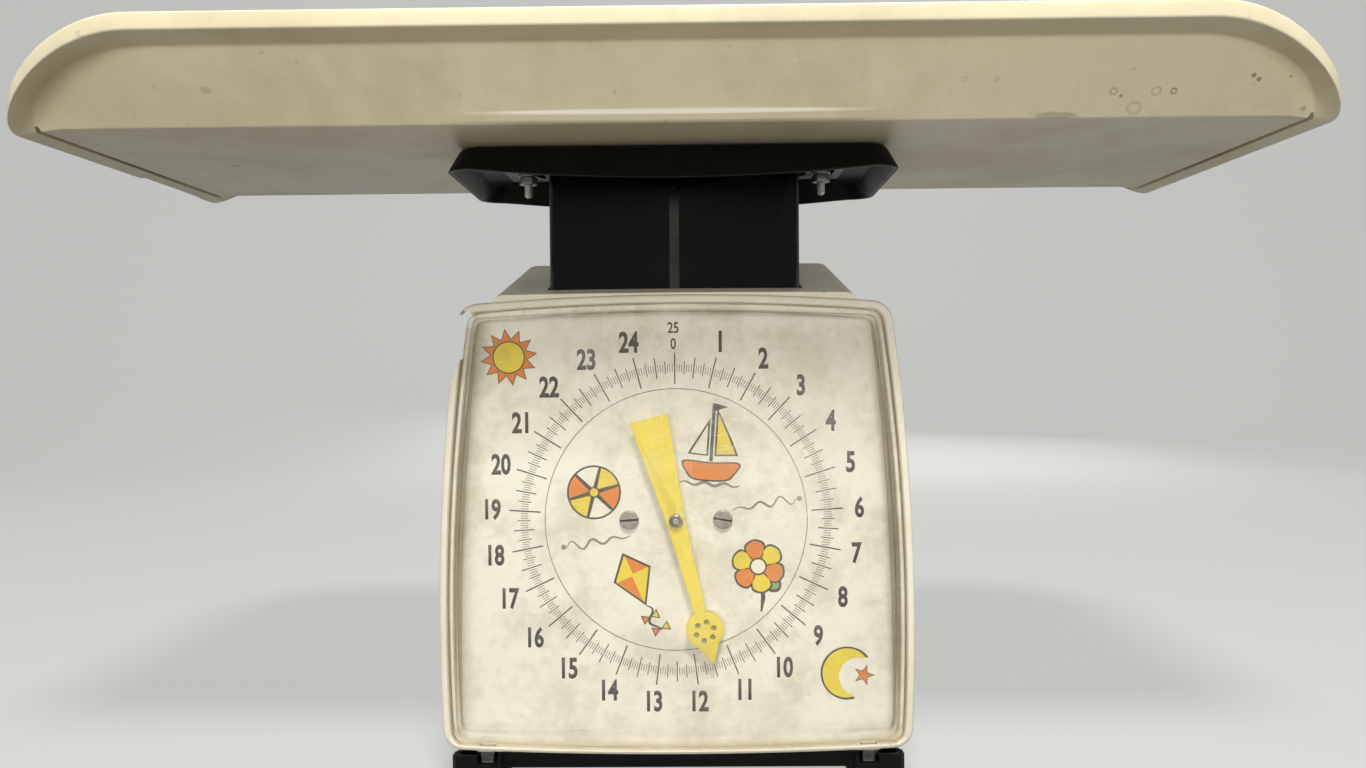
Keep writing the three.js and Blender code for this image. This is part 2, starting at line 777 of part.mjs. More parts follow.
// The pointer's outline along its own length: +v is its tip, at (u, v).
function pointerOutline() {
  const points = [];
  const neckAngle = Math.asin(pointer.armWidth / 2 / pointer.headRadius);
  const shoulderAngle = Math.PI * pointer.shoulderShare;
  const start = neckAngle - Math.PI / 2;
  const arcSteps = 8;
  for (let i = 0; i <= arcSteps; i += 1) {
    const angle = start + ((shoulderAngle - start) * i) / arcSteps;
    const [u, v] = [Math.cos(angle) * pointer.headRadius, Math.sin(angle) * pointer.headRadius];
    points.push([u, pointer.headCentre + v]);
  }
  const left = points.map(([u, v]) => [-u, v]).reverse();
  return [
    [-pointer.tailWidth / 2, -pointer.tail], [pointer.tailWidth / 2, -pointer.tail],
    [pointer.hubWidth / 2, 0], ...points, [0, pointer.tip], ...left, [-pointer.hubWidth / 2, 0],
  ];
}

function makePointer() {
  const angle = THREE.MathUtils.degToRad(pointer.reading);
  const [along, across] = [Math.cos(angle), Math.sin(angle)];
  const place = ([u, v]) => [u * along + v * across, level.axis - u * across + v * along];
  const bore = rod('y', hub.sleeveRadius + gap.running, pointerFront - gap.overrun, pointerBack + gap.overrun,
    [0, level.axis]);
  return cut(push('y', pointerOutline().map(place), pointerFront, pointerBack), bore);
}

function makePointerHub() {
  const capBack = pointerFront - gap.seat;
  const sleeveBack = pointerBack + hub.sleeve;
  const flatShare = 0.8;
  const cap = [
    [capBack - hub.cap, hub.radius * flatShare],
    [capBack - hub.cap * flatShare, hub.radius],
    [capBack, hub.radius],
  ];
  const body = join(
    turned('y', cap, [0, level.axis], 24),
    rod('y', hub.sleeveRadius, capBack - hub.cap / 2, sleeveBack, [0, level.axis]),
  );
  return cut(body, shaftBore(capBack - hub.cap, sleeveBack));
}

const legFront = plateBack + bracket.reach;

function makePointerShaft() {
  const front = pointerFront - gap.seat - hub.cap - hub.proud;
  return rod('y', shaft.radius, front, legFront + bracket.sheet + gap.seat, [0, level.axis], shaft.boreSides);
}

function makePointerBush() {
  const centre = [0, level.axis];
  const flangeBack = plateFront - gap.seat;
  const body = join(
    rod('y', bush.radius, dialFront - bush.front, plateBack + bush.behind, centre),
    rod('y', bush.flangeRadius, flangeBack - bush.flange, flangeBack, centre),
  );
  return cut(body, shaftBore(dialFront - bush.front, plateBack + bush.behind));
}

// The bracket that carries the shaft's rear end, bent from one strip.
function makeBearingBracket() {
  const front = plateBack + gap.seat;
  const [left, right] = [-bracket.offset - bracket.foot, -bracket.offset];
  const outline = [[left, front], [right, front], [right, legFront], [bracket.legPast, legFront],
    [bracket.legPast, legFront + bracket.sheet], [right - bracket.sheet, legFront + bracket.sheet],
    [right - bracket.sheet, front + bracket.sheet], [left, front + bracket.sheet]];
  const strip = push('z', outline, level.axis - bracket.height / 2, level.axis + bracket.height / 2);
  return cut(strip, shaftBore(legFront, legFront + bracket.sheet));
}

// Front plate, dial, lens

function makeFrontPlate() {
  const half = frontPlate.width / 2;
  const bottom = level.frameFloor + frame.sheet + gap.seat;
  const plate = join(
    block([-half, half], [plateFront, plateBack], [bottom, level.axis + frontPlate.above]),
    block([-half, half], [plateFront, plateBack + frontPlate.foot], [bottom, bottom + frontPlate.thickness]),
  );
  const across = [plateFront - gap.overrun, plateBack + gap.overrun];
  const bushHole = rod('y', bush.radius + gap.seat, ...across, [0, level.axis], 24);
  const dialHoles = dialScrewPlaces
    .map((place) => rod('y', dialScrew.radius + gap.seat, ...across, place, 12));
  const footHoles = plateScrewPlaces().map((place) => rod('z', frameScrew.radius + gap.seat,
    bottom - gap.overrun, bottom + frontPlate.thickness + gap.overrun, place, 10));
  return cut(plate, bushHole, ...dialHoles, ...footHoles);
}

const dialScrewPlaces = bothSides(dialScrew.spacing).map((x) => [x, level.axis]);

const bezelSize = {
  ...bezel,
  top: level.housing + bezel.cornerLift + bezel.height,
  bottom: level.housing + bezel.cornerLift,
};

function makeDial() {
  const outline = pillow(bezelSize, bezel.lip + gap.bolt);
  const card = loft([standing(outline, dialFront), standing(outline, dialBack)]);
  const across = [dialFront - gap.overrun, dialBack + gap.overrun];
  const screwHoles = dialScrewPlaces
    .map((place) => rod('y', dialScrew.radius + gap.bolt, ...across, place, 10));
  return cut(card, rod('y', dial.holeRadius, ...across, [0, level.axis], 24), ...screwHoles);
}

function makeDialScrew([x, z]) {
  const seat = dialFront - gap.seat;
  const face = seat - dialScrew.headHeight;
  const reach = dialScrew.headRadius + gap.overrun;
  const slot = block([x - reach, x + reach], [face - gap.overrun, face + dialScrew.slotDepth],
    [z - dialScrew.slot / 2, z + dialScrew.slot / 2]);
  return cut(screw('y', seat, plateBack + gap.seat, dialScrew, [x, z], 20), slot);
}

function makeDialPost(place) {
  const y = [dialBack + gap.seat, plateFront - gap.seat];
  return cut(
    rod('y', dialPost.radius, y[0], y[1], place),
    rod('y', dialScrew.radius + gap.seat, y[0] - gap.overrun, y[1] + gap.overrun, place, 10),
  );
}

function makeLens() {
  const flangeInset = bezel.lip + gap.bolt;
  const front = bezel.front - lens.proud;
  const t = lens.thickness;
  const face = (inset) => pillow({
    topHalf: lens.faceTopHalf,
    bottomHalf: lens.faceBottomHalf,
    top: bezelSize.top - lens.faceTopDrop,
    bottom: bezelSize.bottom + lens.faceBottomLift,
    sideBulge: bezel.sideBulge * lens.bulgeShare,
    topBulge: bezel.topBulge * lens.bulgeShare,
    bottomBulge: bezel.bottomBulge * lens.bulgeShare,
    corner: lens.faceCorner,
  }, inset);
  const flange = (inset) => pillow(bezelSize, inset);
  const cover = loft([
    standing(face(lens.faceRound), front),
    standing(face(0), front + lens.faceRound),
    standing(flange(flangeInset + lens.flangeRun), lensBack - t),
    standing(flange(flangeInset), lensBack - t),
    standing(flange(flangeInset), lensBack),
    standing(flange(flangeInset + lens.flangeRun + t), lensBack),
    standing(face(t), front + lens.faceRound + t),
    standing(face(t + lens.faceRound), front + t),
  ]);
  const tabTop = bezelSize.bottom + bezel.lip + gap.seat;
  const tabEnd = level.housing - lens.tabDrop;
  const [wide, thin] = [lens.tabWidth / 2, lens.tabTipWidth / 2];
  const tabs = bothSides(lens.tabSpacing).map((x) => {
    const tab = [[x - thin, tabEnd], [x + thin, tabEnd], [x + wide, tabTop], [x - wide, tabTop]];
    return push('y', tab, lensBack - t, lensBack);
  });
  return join(cover, ...tabs);
}

// Housing

// The shell behind the bezel. `low` sets how deep the outline reaches, and `inset` draws it in.
function shellOutline(y, inset, low) {
  const share = (y - bezelBack) / (shell.back - bezelBack);
  return standing(pillow({
    topHalf: shell.topHalf,
    bottomHalf: shell.bottomHalf,
    top: level.housing + shell.frontRoof + shell.roofRise * share,
    bottom: low - inset,
    sideBulge: shell.sideBulge,
    topBulge: shell.roofBulge,
    bottomBulge: 0,
    corner: shell.corner,
  }, inset), y);
}

function shellLoft(inset, low, front) {
  const back = shell.back - inset;
  const round = shell.backRound - inset;
  const steps = 4;
  const rounded = Array.from({ length: steps + 1 }, (_, i) => {
    const bend = (i / steps) * (Math.PI / 2);
    return shellOutline(back - round * (1 - Math.sin(bend)), inset + round * (1 - Math.cos(bend)), low);
  });
  return loft([shellOutline(front, inset, low), ...rounded]);
}

function makeHousing() {
  const outline = (inset, y) => standing(pillow(bezelSize, inset), y);
  const round = bezel.lipRound;
  const bendShare = 0.3;
  const bezelBody = loft([
    outline(round, bezel.front),
    outline(round * bendShare, bezel.front + round * bendShare),
    outline(0, bezel.front + round),
    outline(0, bezelBack),
  ]);
  const body = shellLoft(0, level.housing, bezelBack - bezel.ledge / 2);
  const recess = loft([
    outline(bezel.lip - bezel.lipInnerRound, bezel.front - gap.overrun),
    outline(bezel.lip - bezel.lipInnerRound, bezel.front),
    outline(bezel.lip, bezel.front + bezel.lipInnerRound),
    outline(bezel.lip, recessFloor),
  ]);
  const opening = loft([
    outline(bezel.lip + bezel.ledgeRun, recessFloor - gap.overrun),
    outline(bezel.lip + bezel.ledgeRun, bezelBack + gap.overrun),
  ]);
  const cavity = shellLoft(shell.wall, level.housing - gap.overrun, bezelBack);
  const hole = column.width / 2 + gap.slide;
  const columnHole = block([-hole, hole], [columnFront - gap.slide, columnBack + gap.slide],
    [level.axis, level.columnTop]);
  const tabHoles = bothSides(lens.tabSpacing).map((x) => block(
    [x - lens.tabWidth / 2 - gap.bolt, x + lens.tabWidth / 2 + gap.bolt],
    [lensBack - lens.thickness - gap.bolt, lensBack + gap.bolt],
    [level.housing - gap.overrun, bezelSize.bottom + bezel.lip + gap.bolt]));
  const reach = zeroWheel.radius + wheelSlot.play;
  const slotHalf = Math.sqrt(reach ** 2 - (shell.back - shell.wall - spring.place) ** 2);
  const wheelHole = block([-slotHalf, slotHalf], [shell.back - shell.backRound, shell.back + gap.overrun],
    [level.wheel - wheelSlot.play, level.wheel + zeroWheel.height + wheelSlot.play]);
  const screwHoles = housingScrewPlaces().map((place) => rod('x', housingScrew.radius + gap.bolt,
    -shell.bottomHalf - gap.overrun, shell.bottomHalf + gap.overrun, place, 10));
  const holes = [columnHole, wheelHole, ...tabHoles, ...screwHoles];
  return cut(join(bezelBody, body), recess, opening, cavity, ...holes);
}

function housingScrewPlaces() {
  const z = level.housing + housingScrew.lift;
  const y = bezelBack + base.rimFront + housingScrew.front;
  return [[y, z], [y + housingScrew.spacing, z]];
}

function makeHousingScrew(side, place) {
  const seat = shellHalf(place[1]) + gap.seat;
  const tip = shellHalf(level.housing) - shell.wall - gap.bolt - base.wall - gap.seat;
  return screw('x', side * seat, side * tip, housingScrew, place);
}

// The shell's half width at a height, at its front.
function shellHalf(z) {
  const share = (z - level.housing) / shell.frontRoof;
  const straight = shell.bottomHalf + (shell.topHalf - shell.bottomHalf) * share;
  return straight + 4 * shell.sideBulge * share * (1 - share);
}

// Base and feet

function baseOutline(inset) {
  const front = bezel.front + base.frontInset + inset;
  const middle = front + base.recess;
  const back = shell.back - inset;
  const wide = base.frontHalf - inset;
  const narrow = shell.bottomHalf - inset;
  const shoulder = bezelBack + inset;
  const round = base.corner;
  const bend = round * base.bendShare;
  const dip = base.recessHalf + inset;
  const right = [
    [dip, middle], [dip, front], [wide - bend, front], [wide, front + bend], [wide, shoulder],
    [narrow, shoulder + (wide - narrow)], [narrow, back - round], [narrow - bend, back - bend],
    [narrow - round, back],
  ];
  return [...right, ...right.map(([x, y]) => [-x, y]).reverse()];
}

function makeBase() {
  const top = level.housing - gap.seat;
  const plinth = push('z', baseOutline(0), level.floorUnder, top);
  const hollow = push('z', baseOutline(base.wall), level.floor, top + gap.overrun);
  const rimOut = shellHalf(level.housing) - shell.wall - gap.bolt;
  const rimFront = bezelBack + base.rimFront;
  const rimOutline = (inset, front) => {
    const [x, back, round] = [rimOut - inset, shell.back - shell.wall - gap.bolt - inset, base.corner];
    const bend = [[x, back - round], [x - round, back]];
    return [[-x, front], [x, front], ...bend, ...bend.map(([u, v]) => [-u, v]).reverse()];
  };
  const rimZ = [level.floorUnder + gap.seat, level.housing + base.rim];
  const rim = cut(push('z', rimOutline(0, rimFront), ...rimZ),
    push('z', rimOutline(base.wall, rimFront - gap.overrun), rimZ[0] - gap.overrun, rimZ[1] + gap.overrun));
  const holes = housingScrewPlaces().map((place) => rod('x', housingScrew.radius + gap.seat,
    -rimOut - gap.overrun, rimOut + gap.overrun, place, 10));
  const padZ = [level.pad, level.floorUnder + base.floor / 2];
  const pads = footPlaces().map(([x, y]) => {
    const half = base.padSize / 2;
    const square = block([x - half, x + half], [y - half, y + half], padZ);
    return square.intersect(push('z', baseOutline(0), ...padZ));
  });
  const through = [level.pad - gap.overrun, level.floor + gap.overrun];
  const footHoles = footPlaces().map((place) => rod('z', foot.stem + gap.seat, ...through, place, 10));
  const frameHoles = [...frameScrewPlaces(), ...plateScrewPlaces()]
    .map((place) => rod('z', frameScrew.radius + gap.seat, ...through, place, 10));
  const tabNotches = bothSides(lens.tabSpacing).map((x) => block(
    [x - lens.tabWidth / 2 - gap.slide, x + lens.tabWidth / 2 + gap.slide],
    [bezel.front - gap.overrun, lensBack + gap.slide],
    [level.housing - lens.tabDrop - gap.slide, top + gap.overrun]));
  const pan = join(cut(plinth, hollow), cut(rim, ...holes), ...pads);
  return cut(pan, ...footHoles, ...frameHoles, ...tabNotches);
}

function footPlaces() {
  const x = base.frontHalf - foot.inset;
  const front = bezel.front + base.frontInset + foot.inset;
  const back = shell.back - foot.inset;
  const backX = shell.bottomHalf - foot.inset;
  return [[-x, front], [x, front], [-backX, back], [backX, back]];
}

// A rubber foot with a stem that pulls through the pan's floor and holds by its wider plug.
function makeFoot(place) {
  const top = foot.height - gap.seat;
  const plugFoot = level.floor + gap.seat;
  return turned('z', [
    [0, foot.radius - foot.chamfer], [foot.chamfer, foot.radius], [top, foot.radius], [top, foot.stem],
    [plugFoot, foot.stem], [plugFoot, foot.plug], [plugFoot + foot.plugHeight / 2, foot.plug],
    [plugFoot + foot.plugHeight, foot.stem],
  ], place, foot.sides);
}

// Mechanism frame, bridge, levers

function frameScrewPlaces() {
  const x = frame.halfWidth - frameScrew.inset - frame.sheet;
  const y = frame.back - frameScrew.inset;
  return [[-x, y], [x, y]];
}

function plateScrewPlaces() {
  const x = frontPlate.width / 2 - frameScrew.inset;
  const y = plateBack + frontPlate.foot - frameScrew.radius - frontPlate.thickness;
  return [[-x, y], [x, y]];
}

function makeFrame() {
  const [half, t] = [frame.halfWidth, frame.sheet];
  const [low, high] = [level.frameFloor, level.frameTop];
  const depth = [frame.back - frame.depth, frame.back];
  const floor = block([-half, half], [frame.front, frame.back], [low, low + t]);
  const posts = [-1, 1].map((side) => block(ordered(side * half, side * (half - t)), depth, [low, high]));
  const tabs = [-1, 1]
    .map((side) => block(ordered(side * half, side * (half - frame.tab)), depth, [high - t, high]));
  const screwHoles = [...frameScrewPlaces(), ...plateScrewPlaces()].map((place) => rod('z',
    frameScrew.radius + gap.seat, low - gap.overrun, low + t + gap.overrun, place, 10));
  const bridgeHoles = bridgeScrewPlaces().map((place) => rod('z', bridgeScrew.radius + gap.seat,
    high - t - gap.overrun, high + gap.overrun, place, 10));
  const pinHoles = [level.upperLever, level.lowerLever].map((z) => rod('x', leverRod.radius + gap.seat,
    -half - gap.overrun, half + gap.overrun, [pivotY, z], 10));
  const stopHole = rod('z', stop.radius / 2, low - gap.overrun, low + t + gap.overrun, [0, 0], 10);
  return cut(join(floor, ...posts, ...tabs), ...screwHoles, ...bridgeHoles, ...pinHoles, stopHole);
}

const frameScrewSeat = level.frameFloor + frame.sheet + gap.seat;
const plateScrewSeat = frameScrewSeat + frontPlate.thickness + gap.seat;

function makeFrameScrew(seat, place) {
  return screw('z', seat, level.floorUnder, frameScrew, place);
}

function bridgeScrewPlaces() {
  const x = frame.halfWidth - frame.sheet - (frame.tab - frame.sheet) / 2;
  return [-x, x].map((side) => [side, frame.back - frame.depth / 2]);
}

function makeBridge() {
  const z = [level.bridge, level.bridge + bridge.thickness];
  const plate = block([-frame.halfWidth, frame.halfWidth], [frame.back - frame.depth, frame.back], z);
  const through = [z[0] - gap.overrun, z[1] + gap.overrun];
  const holes = bridgeScrewPlaces()
    .map((place) => rod('z', bridgeScrew.radius + gap.seat, ...through, place, 10));
  return cut(plate, ...holes, rod('z', bridge.bore, ...through, [0, spring.place]));
}

function makeBridgeScrew(place) {
  const seat = level.bridge + bridge.thickness + gap.seat;
  return screw('z', seat, level.frameTop - frame.sheet - gap.seat, bridgeScrew, place);
}

const leverIn = column.width / 2 + lever.outerGap;

// A lever with an arm on each side of the column, joined by a cross bar behind it.
function makeLever(z) {
  const end = lever.height / 2;
  const out = leverIn + lever.sheet;
  const arc = (y, from) => Array.from({ length: 5 }, (_, i) => {
    const angle = from + (i * Math.PI) / 4;
    return [y + end * Math.cos(angle), z + end * Math.sin(angle)];
  });
  const outline = [...arc(pivotY, -Math.PI / 2), ...arc(pinY, Math.PI / 2)];
  const arms = [-1, 1].map((side) => push('x', outline, ...ordered(side * leverIn, side * out)));
  const barY = pinY + lever.length * lever.barShare;
  const bar = block([-leverIn - lever.sheet / 2, leverIn + lever.sheet / 2], [barY, barY + lever.sheet],
    [z - lever.barHeight / 2, z + lever.barHeight / 2]);
  const holes = [pinY, pivotY].map((y) => rod('x', leverRod.radius + gap.running, -out - gap.overrun,
    out + gap.overrun, [y, z], 16));
  return cut(join(...arms, bar), ...holes);
}

// A rod across the scale, with a flattened head at each end.
function makeRod(half, place) {
  const head = (side) => turned('x', [[side * half, leverRod.headRadius],
    [side * (half + leverRod.headHeight), leverRod.radius]], place, 10);
  return join(rod('x', leverRod.radius, -half - gap.seat, half + gap.seat, place), head(-1), head(1));
}

function makeStop() {
  const top = level.columnFoot - travel.down - gap.seat;
  const low = level.frameFloor + frame.sheet + gap.seat;
  return turned('z', [
    [low, stop.radius], [top - stop.head, stop.radius], [top - stop.head, stop.headRadius],
    [top - stop.chamfer, stop.headRadius], [top, stop.headRadius - stop.chamfer],
  ], [0, 0], 20);
}

// Springs, hanger and zero wheel

function makeSpring(x) {
  const low = level.columnFoot + carriage.sheet + gap.seat;
  const high = level.yoke - gap.seat;
  const coilLow = low + spring.tail;
  const coilHigh = high - spring.tail;
  const count = spring.turns * spring.steps;
  const points = [new THREE.Vector3(x, spring.place, low)];
  for (let i = 0; i <= count; i += 1) {
    const angle = (i * 2 * Math.PI) / spring.steps;
    const z = coilLow + ((coilHigh - coilLow) * i) / count;
    const [across, along] = [spring.radius * Math.sin(angle), spring.radius * Math.cos(angle)];
    points.push(new THREE.Vector3(x + across, spring.place + along, z));
  }
  points.push(new THREE.Vector3(x, spring.place, high));
  const rings = points.map((point, i) => {
    const before = points[Math.max(0, i - 1)];
    const after = points[Math.min(points.length - 1, i + 1)];
    const upright = i === 0 || i === points.length - 1;
    const along = upright ? new THREE.Vector3(0, 0, 1) : after.clone().sub(before).normalize();
    const outward = new THREE.Vector3(point.x - x, point.y - spring.place, 0);
    if (upright) outward.set(0, 1, 0);
    const side = outward.sub(along.clone().multiplyScalar(outward.dot(along))).normalize();
    const other = along.clone().cross(side);
    return circle(spring.wire, spring.sides).map(([u, v]) => point.clone().addScaledVector(side, u)
      .addScaledVector(other, v).toArray());
  });
  return loft(rings);
}

function makeYoke() {
  const z = [level.yoke, level.yoke + yoke.height];
  const depth = [spring.place - yoke.depth / 2, spring.place + yoke.depth / 2];
  const bar = block([-yoke.halfWidth, yoke.halfWidth], depth, z);
  return cut(bar, rod('z', zeroScrew.radius + gap.seat, z[0] + yoke.height / 4, z[1] + gap.overrun,
    [0, spring.place]));
}

function makeZeroScrew() {
  const top = level.wheel + zeroWheel.height + zeroScrew.above;
  return rod('z', zeroScrew.radius, level.yoke + yoke.height / 4 + gap.seat, top, [0, spring.place]);
}

function makeZeroWheel() {
  const points = [];
  const perKnurl = 4;
  for (let i = 0; i < zeroWheel.knurls * perKnurl; i += 1) {
    const angle = (i * 2 * Math.PI) / (zeroWheel.knurls * perKnurl);
    const radius = zeroWheel.radius - (i % perKnurl < perKnurl / 2 ? 0 : zeroWheel.knurlDepth);
    points.push([radius * Math.cos(angle), spring.place + radius * Math.sin(angle)]);
  }
  const disc = push('z', points, level.wheel, level.wheel + zeroWheel.height);
  const seat = rod('z', zeroWheel.bore + zeroWheel.lift, level.bridge + bridge.thickness + gap.seat,
    level.wheel + zeroWheel.height / 2, [0, spring.place]);
  return cut(join(disc, seat), rod('z', zeroWheel.bore, level.bridge - gap.overrun,
    level.wheel + zeroWheel.height + gap.overrun, [0, spring.place]));
}

// The assembly

const scale = new THREE.Group();

function add(name, solid, material) {
  const mesh = new THREE.Mesh(toGeometry(solid), material);
  mesh.name = name;
  scale.add(mesh);
}

const sides = ['left', 'right'];

function addPair(name, makers, material) {
  makers.forEach((solid, k) => add(`${name}_${sides[k]}`, solid, material));
}

// What stands still
add('housing', makeHousing(), creamPlastic);
['front', 'rear'].forEach((end, row) => addPair(`housing_screw_${end}`,
  [-1, 1].map((side) => makeHousingScrew(side, housingScrewPlaces()[row])), zinc));
add('lens', makeLens(), clearPlastic);
add('dial_plate', makeDial(), dialCard);
addPair('dial_screw', dialScrewPlaces.map(makeDialScrew), zinc);
addPair('dial_post', dialScrewPlaces.map(makeDialPost), steel);
add('base_pan', makeBase(), blackPlastic);
['front', 'rear'].forEach((end, row) => addPair(`foot_${end}`,
  footPlaces().slice(row * 2, row * 2 + 2).map(makeFoot), rubber));
add('mechanism_frame', makeFrame(), steel);
addPair('frame_screw', frameScrewPlaces().map((place) => makeFrameScrew(frameScrewSeat, place)), zinc);
add('front_plate', makeFrontPlate(), steel);
addPair('plate_screw', plateScrewPlaces().map((place) => makeFrameScrew(plateScrewSeat, place)), zinc);
add('pointer_bush', makePointerBush(), brass);
add('bearing_bracket', makeBearingBracket(), steel);
add('spring_bridge', makeBridge(), steel);
addPair('bridge_screw', bridgeScrewPlaces().map(makeBridgeScrew), zinc);
const pivotHalf = frame.halfWidth + gap.seat;
add('upper_pivot_rod', makeRod(pivotHalf, [pivotY, level.upperLever]), zinc);
add('lower_pivot_rod', makeRod(pivotHalf, [pivotY, level.lowerLever]), zinc);
add('overload_stop', makeStop(), rubber);

// What the zero wheel moves
add('zero_wheel', makeZeroWheel(), blackPlastic);
add('zero_screw', makeZeroScrew(), zinc);
add('spring_yoke', makeYoke(), steel);
addPair('main_spring', bothSides(spring.spacing).map(makeSpring), steel);

// What the load moves straight down
add('tray', makeTray(), trayPlastic);
add('tray_support', makeSupport(), blackPlastic);
addPair('tray_bolt', trayBoltPlaces.map(makeTrayBolt), zinc);
addPair('tray_washer', trayBoltPlaces.map(makeTrayWasher), zinc);
addPair('tray_nut', trayBoltPlaces.map(makeTrayNut), zinc);
add('column', makeColumn(), blackPaint);
add('spring_carriage', makeCarriage(), steel);
addPair('carriage_rivet', [-1, 1].map(makeRivet), zinc);
add('rack', makeRack(), brass);
['lower', 'upper'].forEach((end, k) => add(`rack_screw_${end}`, makeRackScrew(rackScrewPlaces()[k]), zinc));

// What the rack turns
add('pointer', makePointer(), yellowPaint);
add('pointer_hub', makePointerHub(), steel);
add('pointer_shaft', makePointerShaft(), steel);
add('pinion', makePinion(), brass);

// What keeps the column upright
const leverRodHalf = leverIn + lever.sheet + gap.seat;
add('upper_lever', makeLever(level.upperLever), steel);
add('lower_lever', makeLever(level.lowerLever), steel);
add('upper_lever_rod', makeRod(leverRodHalf, [pinY, level.upperLever]), zinc);
add('lower_lever_rod', makeRod(leverRodHalf, [pinY, level.lowerLever]), zinc);

export default scale;
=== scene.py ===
import json
from contextlib import contextmanager
from math import asin, atan2, copysign, cos, hypot, pi, radians, sin, sqrt

import bmesh
import bpy
from mathutils import Matrix, Vector

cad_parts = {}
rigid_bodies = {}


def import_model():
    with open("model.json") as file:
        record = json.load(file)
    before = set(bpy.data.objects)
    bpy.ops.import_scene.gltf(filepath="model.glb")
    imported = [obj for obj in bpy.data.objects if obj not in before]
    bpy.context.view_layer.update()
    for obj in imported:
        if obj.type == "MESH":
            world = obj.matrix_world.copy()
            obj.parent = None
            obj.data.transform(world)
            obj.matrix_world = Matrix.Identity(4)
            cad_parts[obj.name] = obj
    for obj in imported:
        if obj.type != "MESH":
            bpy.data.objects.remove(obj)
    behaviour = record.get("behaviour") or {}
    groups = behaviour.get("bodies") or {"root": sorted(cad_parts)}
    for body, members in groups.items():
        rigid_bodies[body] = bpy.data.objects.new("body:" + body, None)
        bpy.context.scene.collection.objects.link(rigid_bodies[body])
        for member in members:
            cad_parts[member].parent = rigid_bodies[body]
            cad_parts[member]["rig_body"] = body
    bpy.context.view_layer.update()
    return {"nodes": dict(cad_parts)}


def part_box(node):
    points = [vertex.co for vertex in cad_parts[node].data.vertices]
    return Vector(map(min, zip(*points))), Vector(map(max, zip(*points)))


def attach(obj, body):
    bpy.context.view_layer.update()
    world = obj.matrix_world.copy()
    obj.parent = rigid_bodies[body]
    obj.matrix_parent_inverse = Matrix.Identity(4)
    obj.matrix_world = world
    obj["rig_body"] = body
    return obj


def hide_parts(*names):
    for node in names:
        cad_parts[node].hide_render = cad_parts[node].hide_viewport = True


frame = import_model()
mm = 0.001  # sizes below are in millimetres, and makePiece turns them into metres
weld = 0.000002  # metres between two points that are one
overcut = 4  # millimetres that a cutting shape reaches past what it cuts
print("frame loaded:", len(frame["nodes"]), "nodes")


# Shared helpers

def boxOf(node):
    low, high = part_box(node)
    return low / mm, high / mm


def middleOf(node):
    low, high = boxOf(node)
    return (low + high) / 2


def bodyOf(node):
    return frame["nodes"][node]["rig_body"]


def addObject(name, data):
    piece = bpy.data.objects.new(name, data)
    bpy.context.scene.collection.objects.link(piece)
    return piece


@contextmanager
def editedMesh(data):
    work = bmesh.new()
    work.from_mesh(data)
    yield work
    work.to_mesh(data)
    work.free()


def makePiece(name, verts, faces, *materials):
    data = bpy.data.meshes.new(name)
    data.from_pydata([(x * mm, y * mm, z * mm) for x, y, z in verts], [], faces)
    data.update()
    for material in materials:
        data.materials.append(material)
    with editedMesh(data) as work:
        bmesh.ops.remove_doubles(work, verts=work.verts, dist=weld)
        bmesh.ops.dissolve_degenerate(work, edges=work.edges, dist=weld)
        bmesh.ops.recalc_face_normals(work, faces=work.faces)
    return addObject(name, data)


def soften(piece, degrees):
    piece.data.polygons.foreach_set("use_smooth", [True] * len(piece.data.polygons))
    piece.data.set_sharp_from_angle(angle=radians(degrees))


def settle(piece, body, *nodes):
    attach(piece, body)
    if nodes:
        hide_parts(*nodes)


def between(a, peak, b, t):
    return a * (1 - t) ** 2 + peak * 2 * t * (1 - t) + b * t * t


# Rings of points with as many points each, skinned, and closed at both ends or led back to the first.
def skin(rings, looped=False):
    count = len(rings[0])
    faces = []
    for r in range(len(rings) if looped else len(rings) - 1):
        a, b = r * count, (r + 1) % len(rings) * count
        faces += [(a + i, a + (i + 1) % count, b + (i + 1) % count, b + i) for i in range(count)]
    if not looped:
        faces += [tuple(range(count - 1, -1, -1)), tuple(range((len(rings) - 1) * count, len(rings) * count))]
    return [point for ring in rings for point in ring], faces


# A line through points, with each inner point rounded to its radius.
def softLine(points, radii, steps=4):
    points = [Vector(p) for p in points]
    line = [points[0]]
    for i in range(1, len(points) - 1):
        here = points[i]
        back, ahead = points[i - 1] - here, points[i + 1] - here
        reach = min(radii[i], back.length * 0.48, ahead.length * 0.48)
        a, b = here + back.normalized() * reach, here + ahead.normalized() * reach
        line += [between(a, here, b, k / steps) for k in range(steps + 1)]
    return line + [points[-1]]


# Key rings turned into many, with the line across them rounded at each key ring.
def softRings(keyRings, radii, steps):
    return [list(ring) for ring in zip(*[softLine(points, radii, steps) for points in zip(*keyRings)])]


def arc(radius, start, end, steps, centre=(0, 0)):
    angles = [start + (end - start) * i / steps for i in range(steps + 1)]
    return [(centre[0] + radius * cos(a), centre[1] + radius * sin(a)) for a in angles]


def circlePoints(radius, sides, centre=(0, 0), turn=0.0):
    return arc(radius, turn, turn + 2 * pi, sides, centre)[:-1]


def onAxis(axis, at, point):
    u, v = point
    return {"x": (at, u, v), "y": (u, at, v), "z": (u, v, at)}[axis]


def offAxis(axis, place):
    return {"x": (place.y, place.z), "y": (place.x, place.z), "z": (place.x, place.y)}[axis]


# A flat outline pushed along an axis.
def prism(axis, outline, start, end):
    return skin([[onAxis(axis, at, p) for p in outline] for at in (start, end)])


def boxShape(x, y, z):
    return prism("z", [(x[0], y[0]), (x[1], y[0]), (x[1], y[1]), (x[0], y[1])], *z)


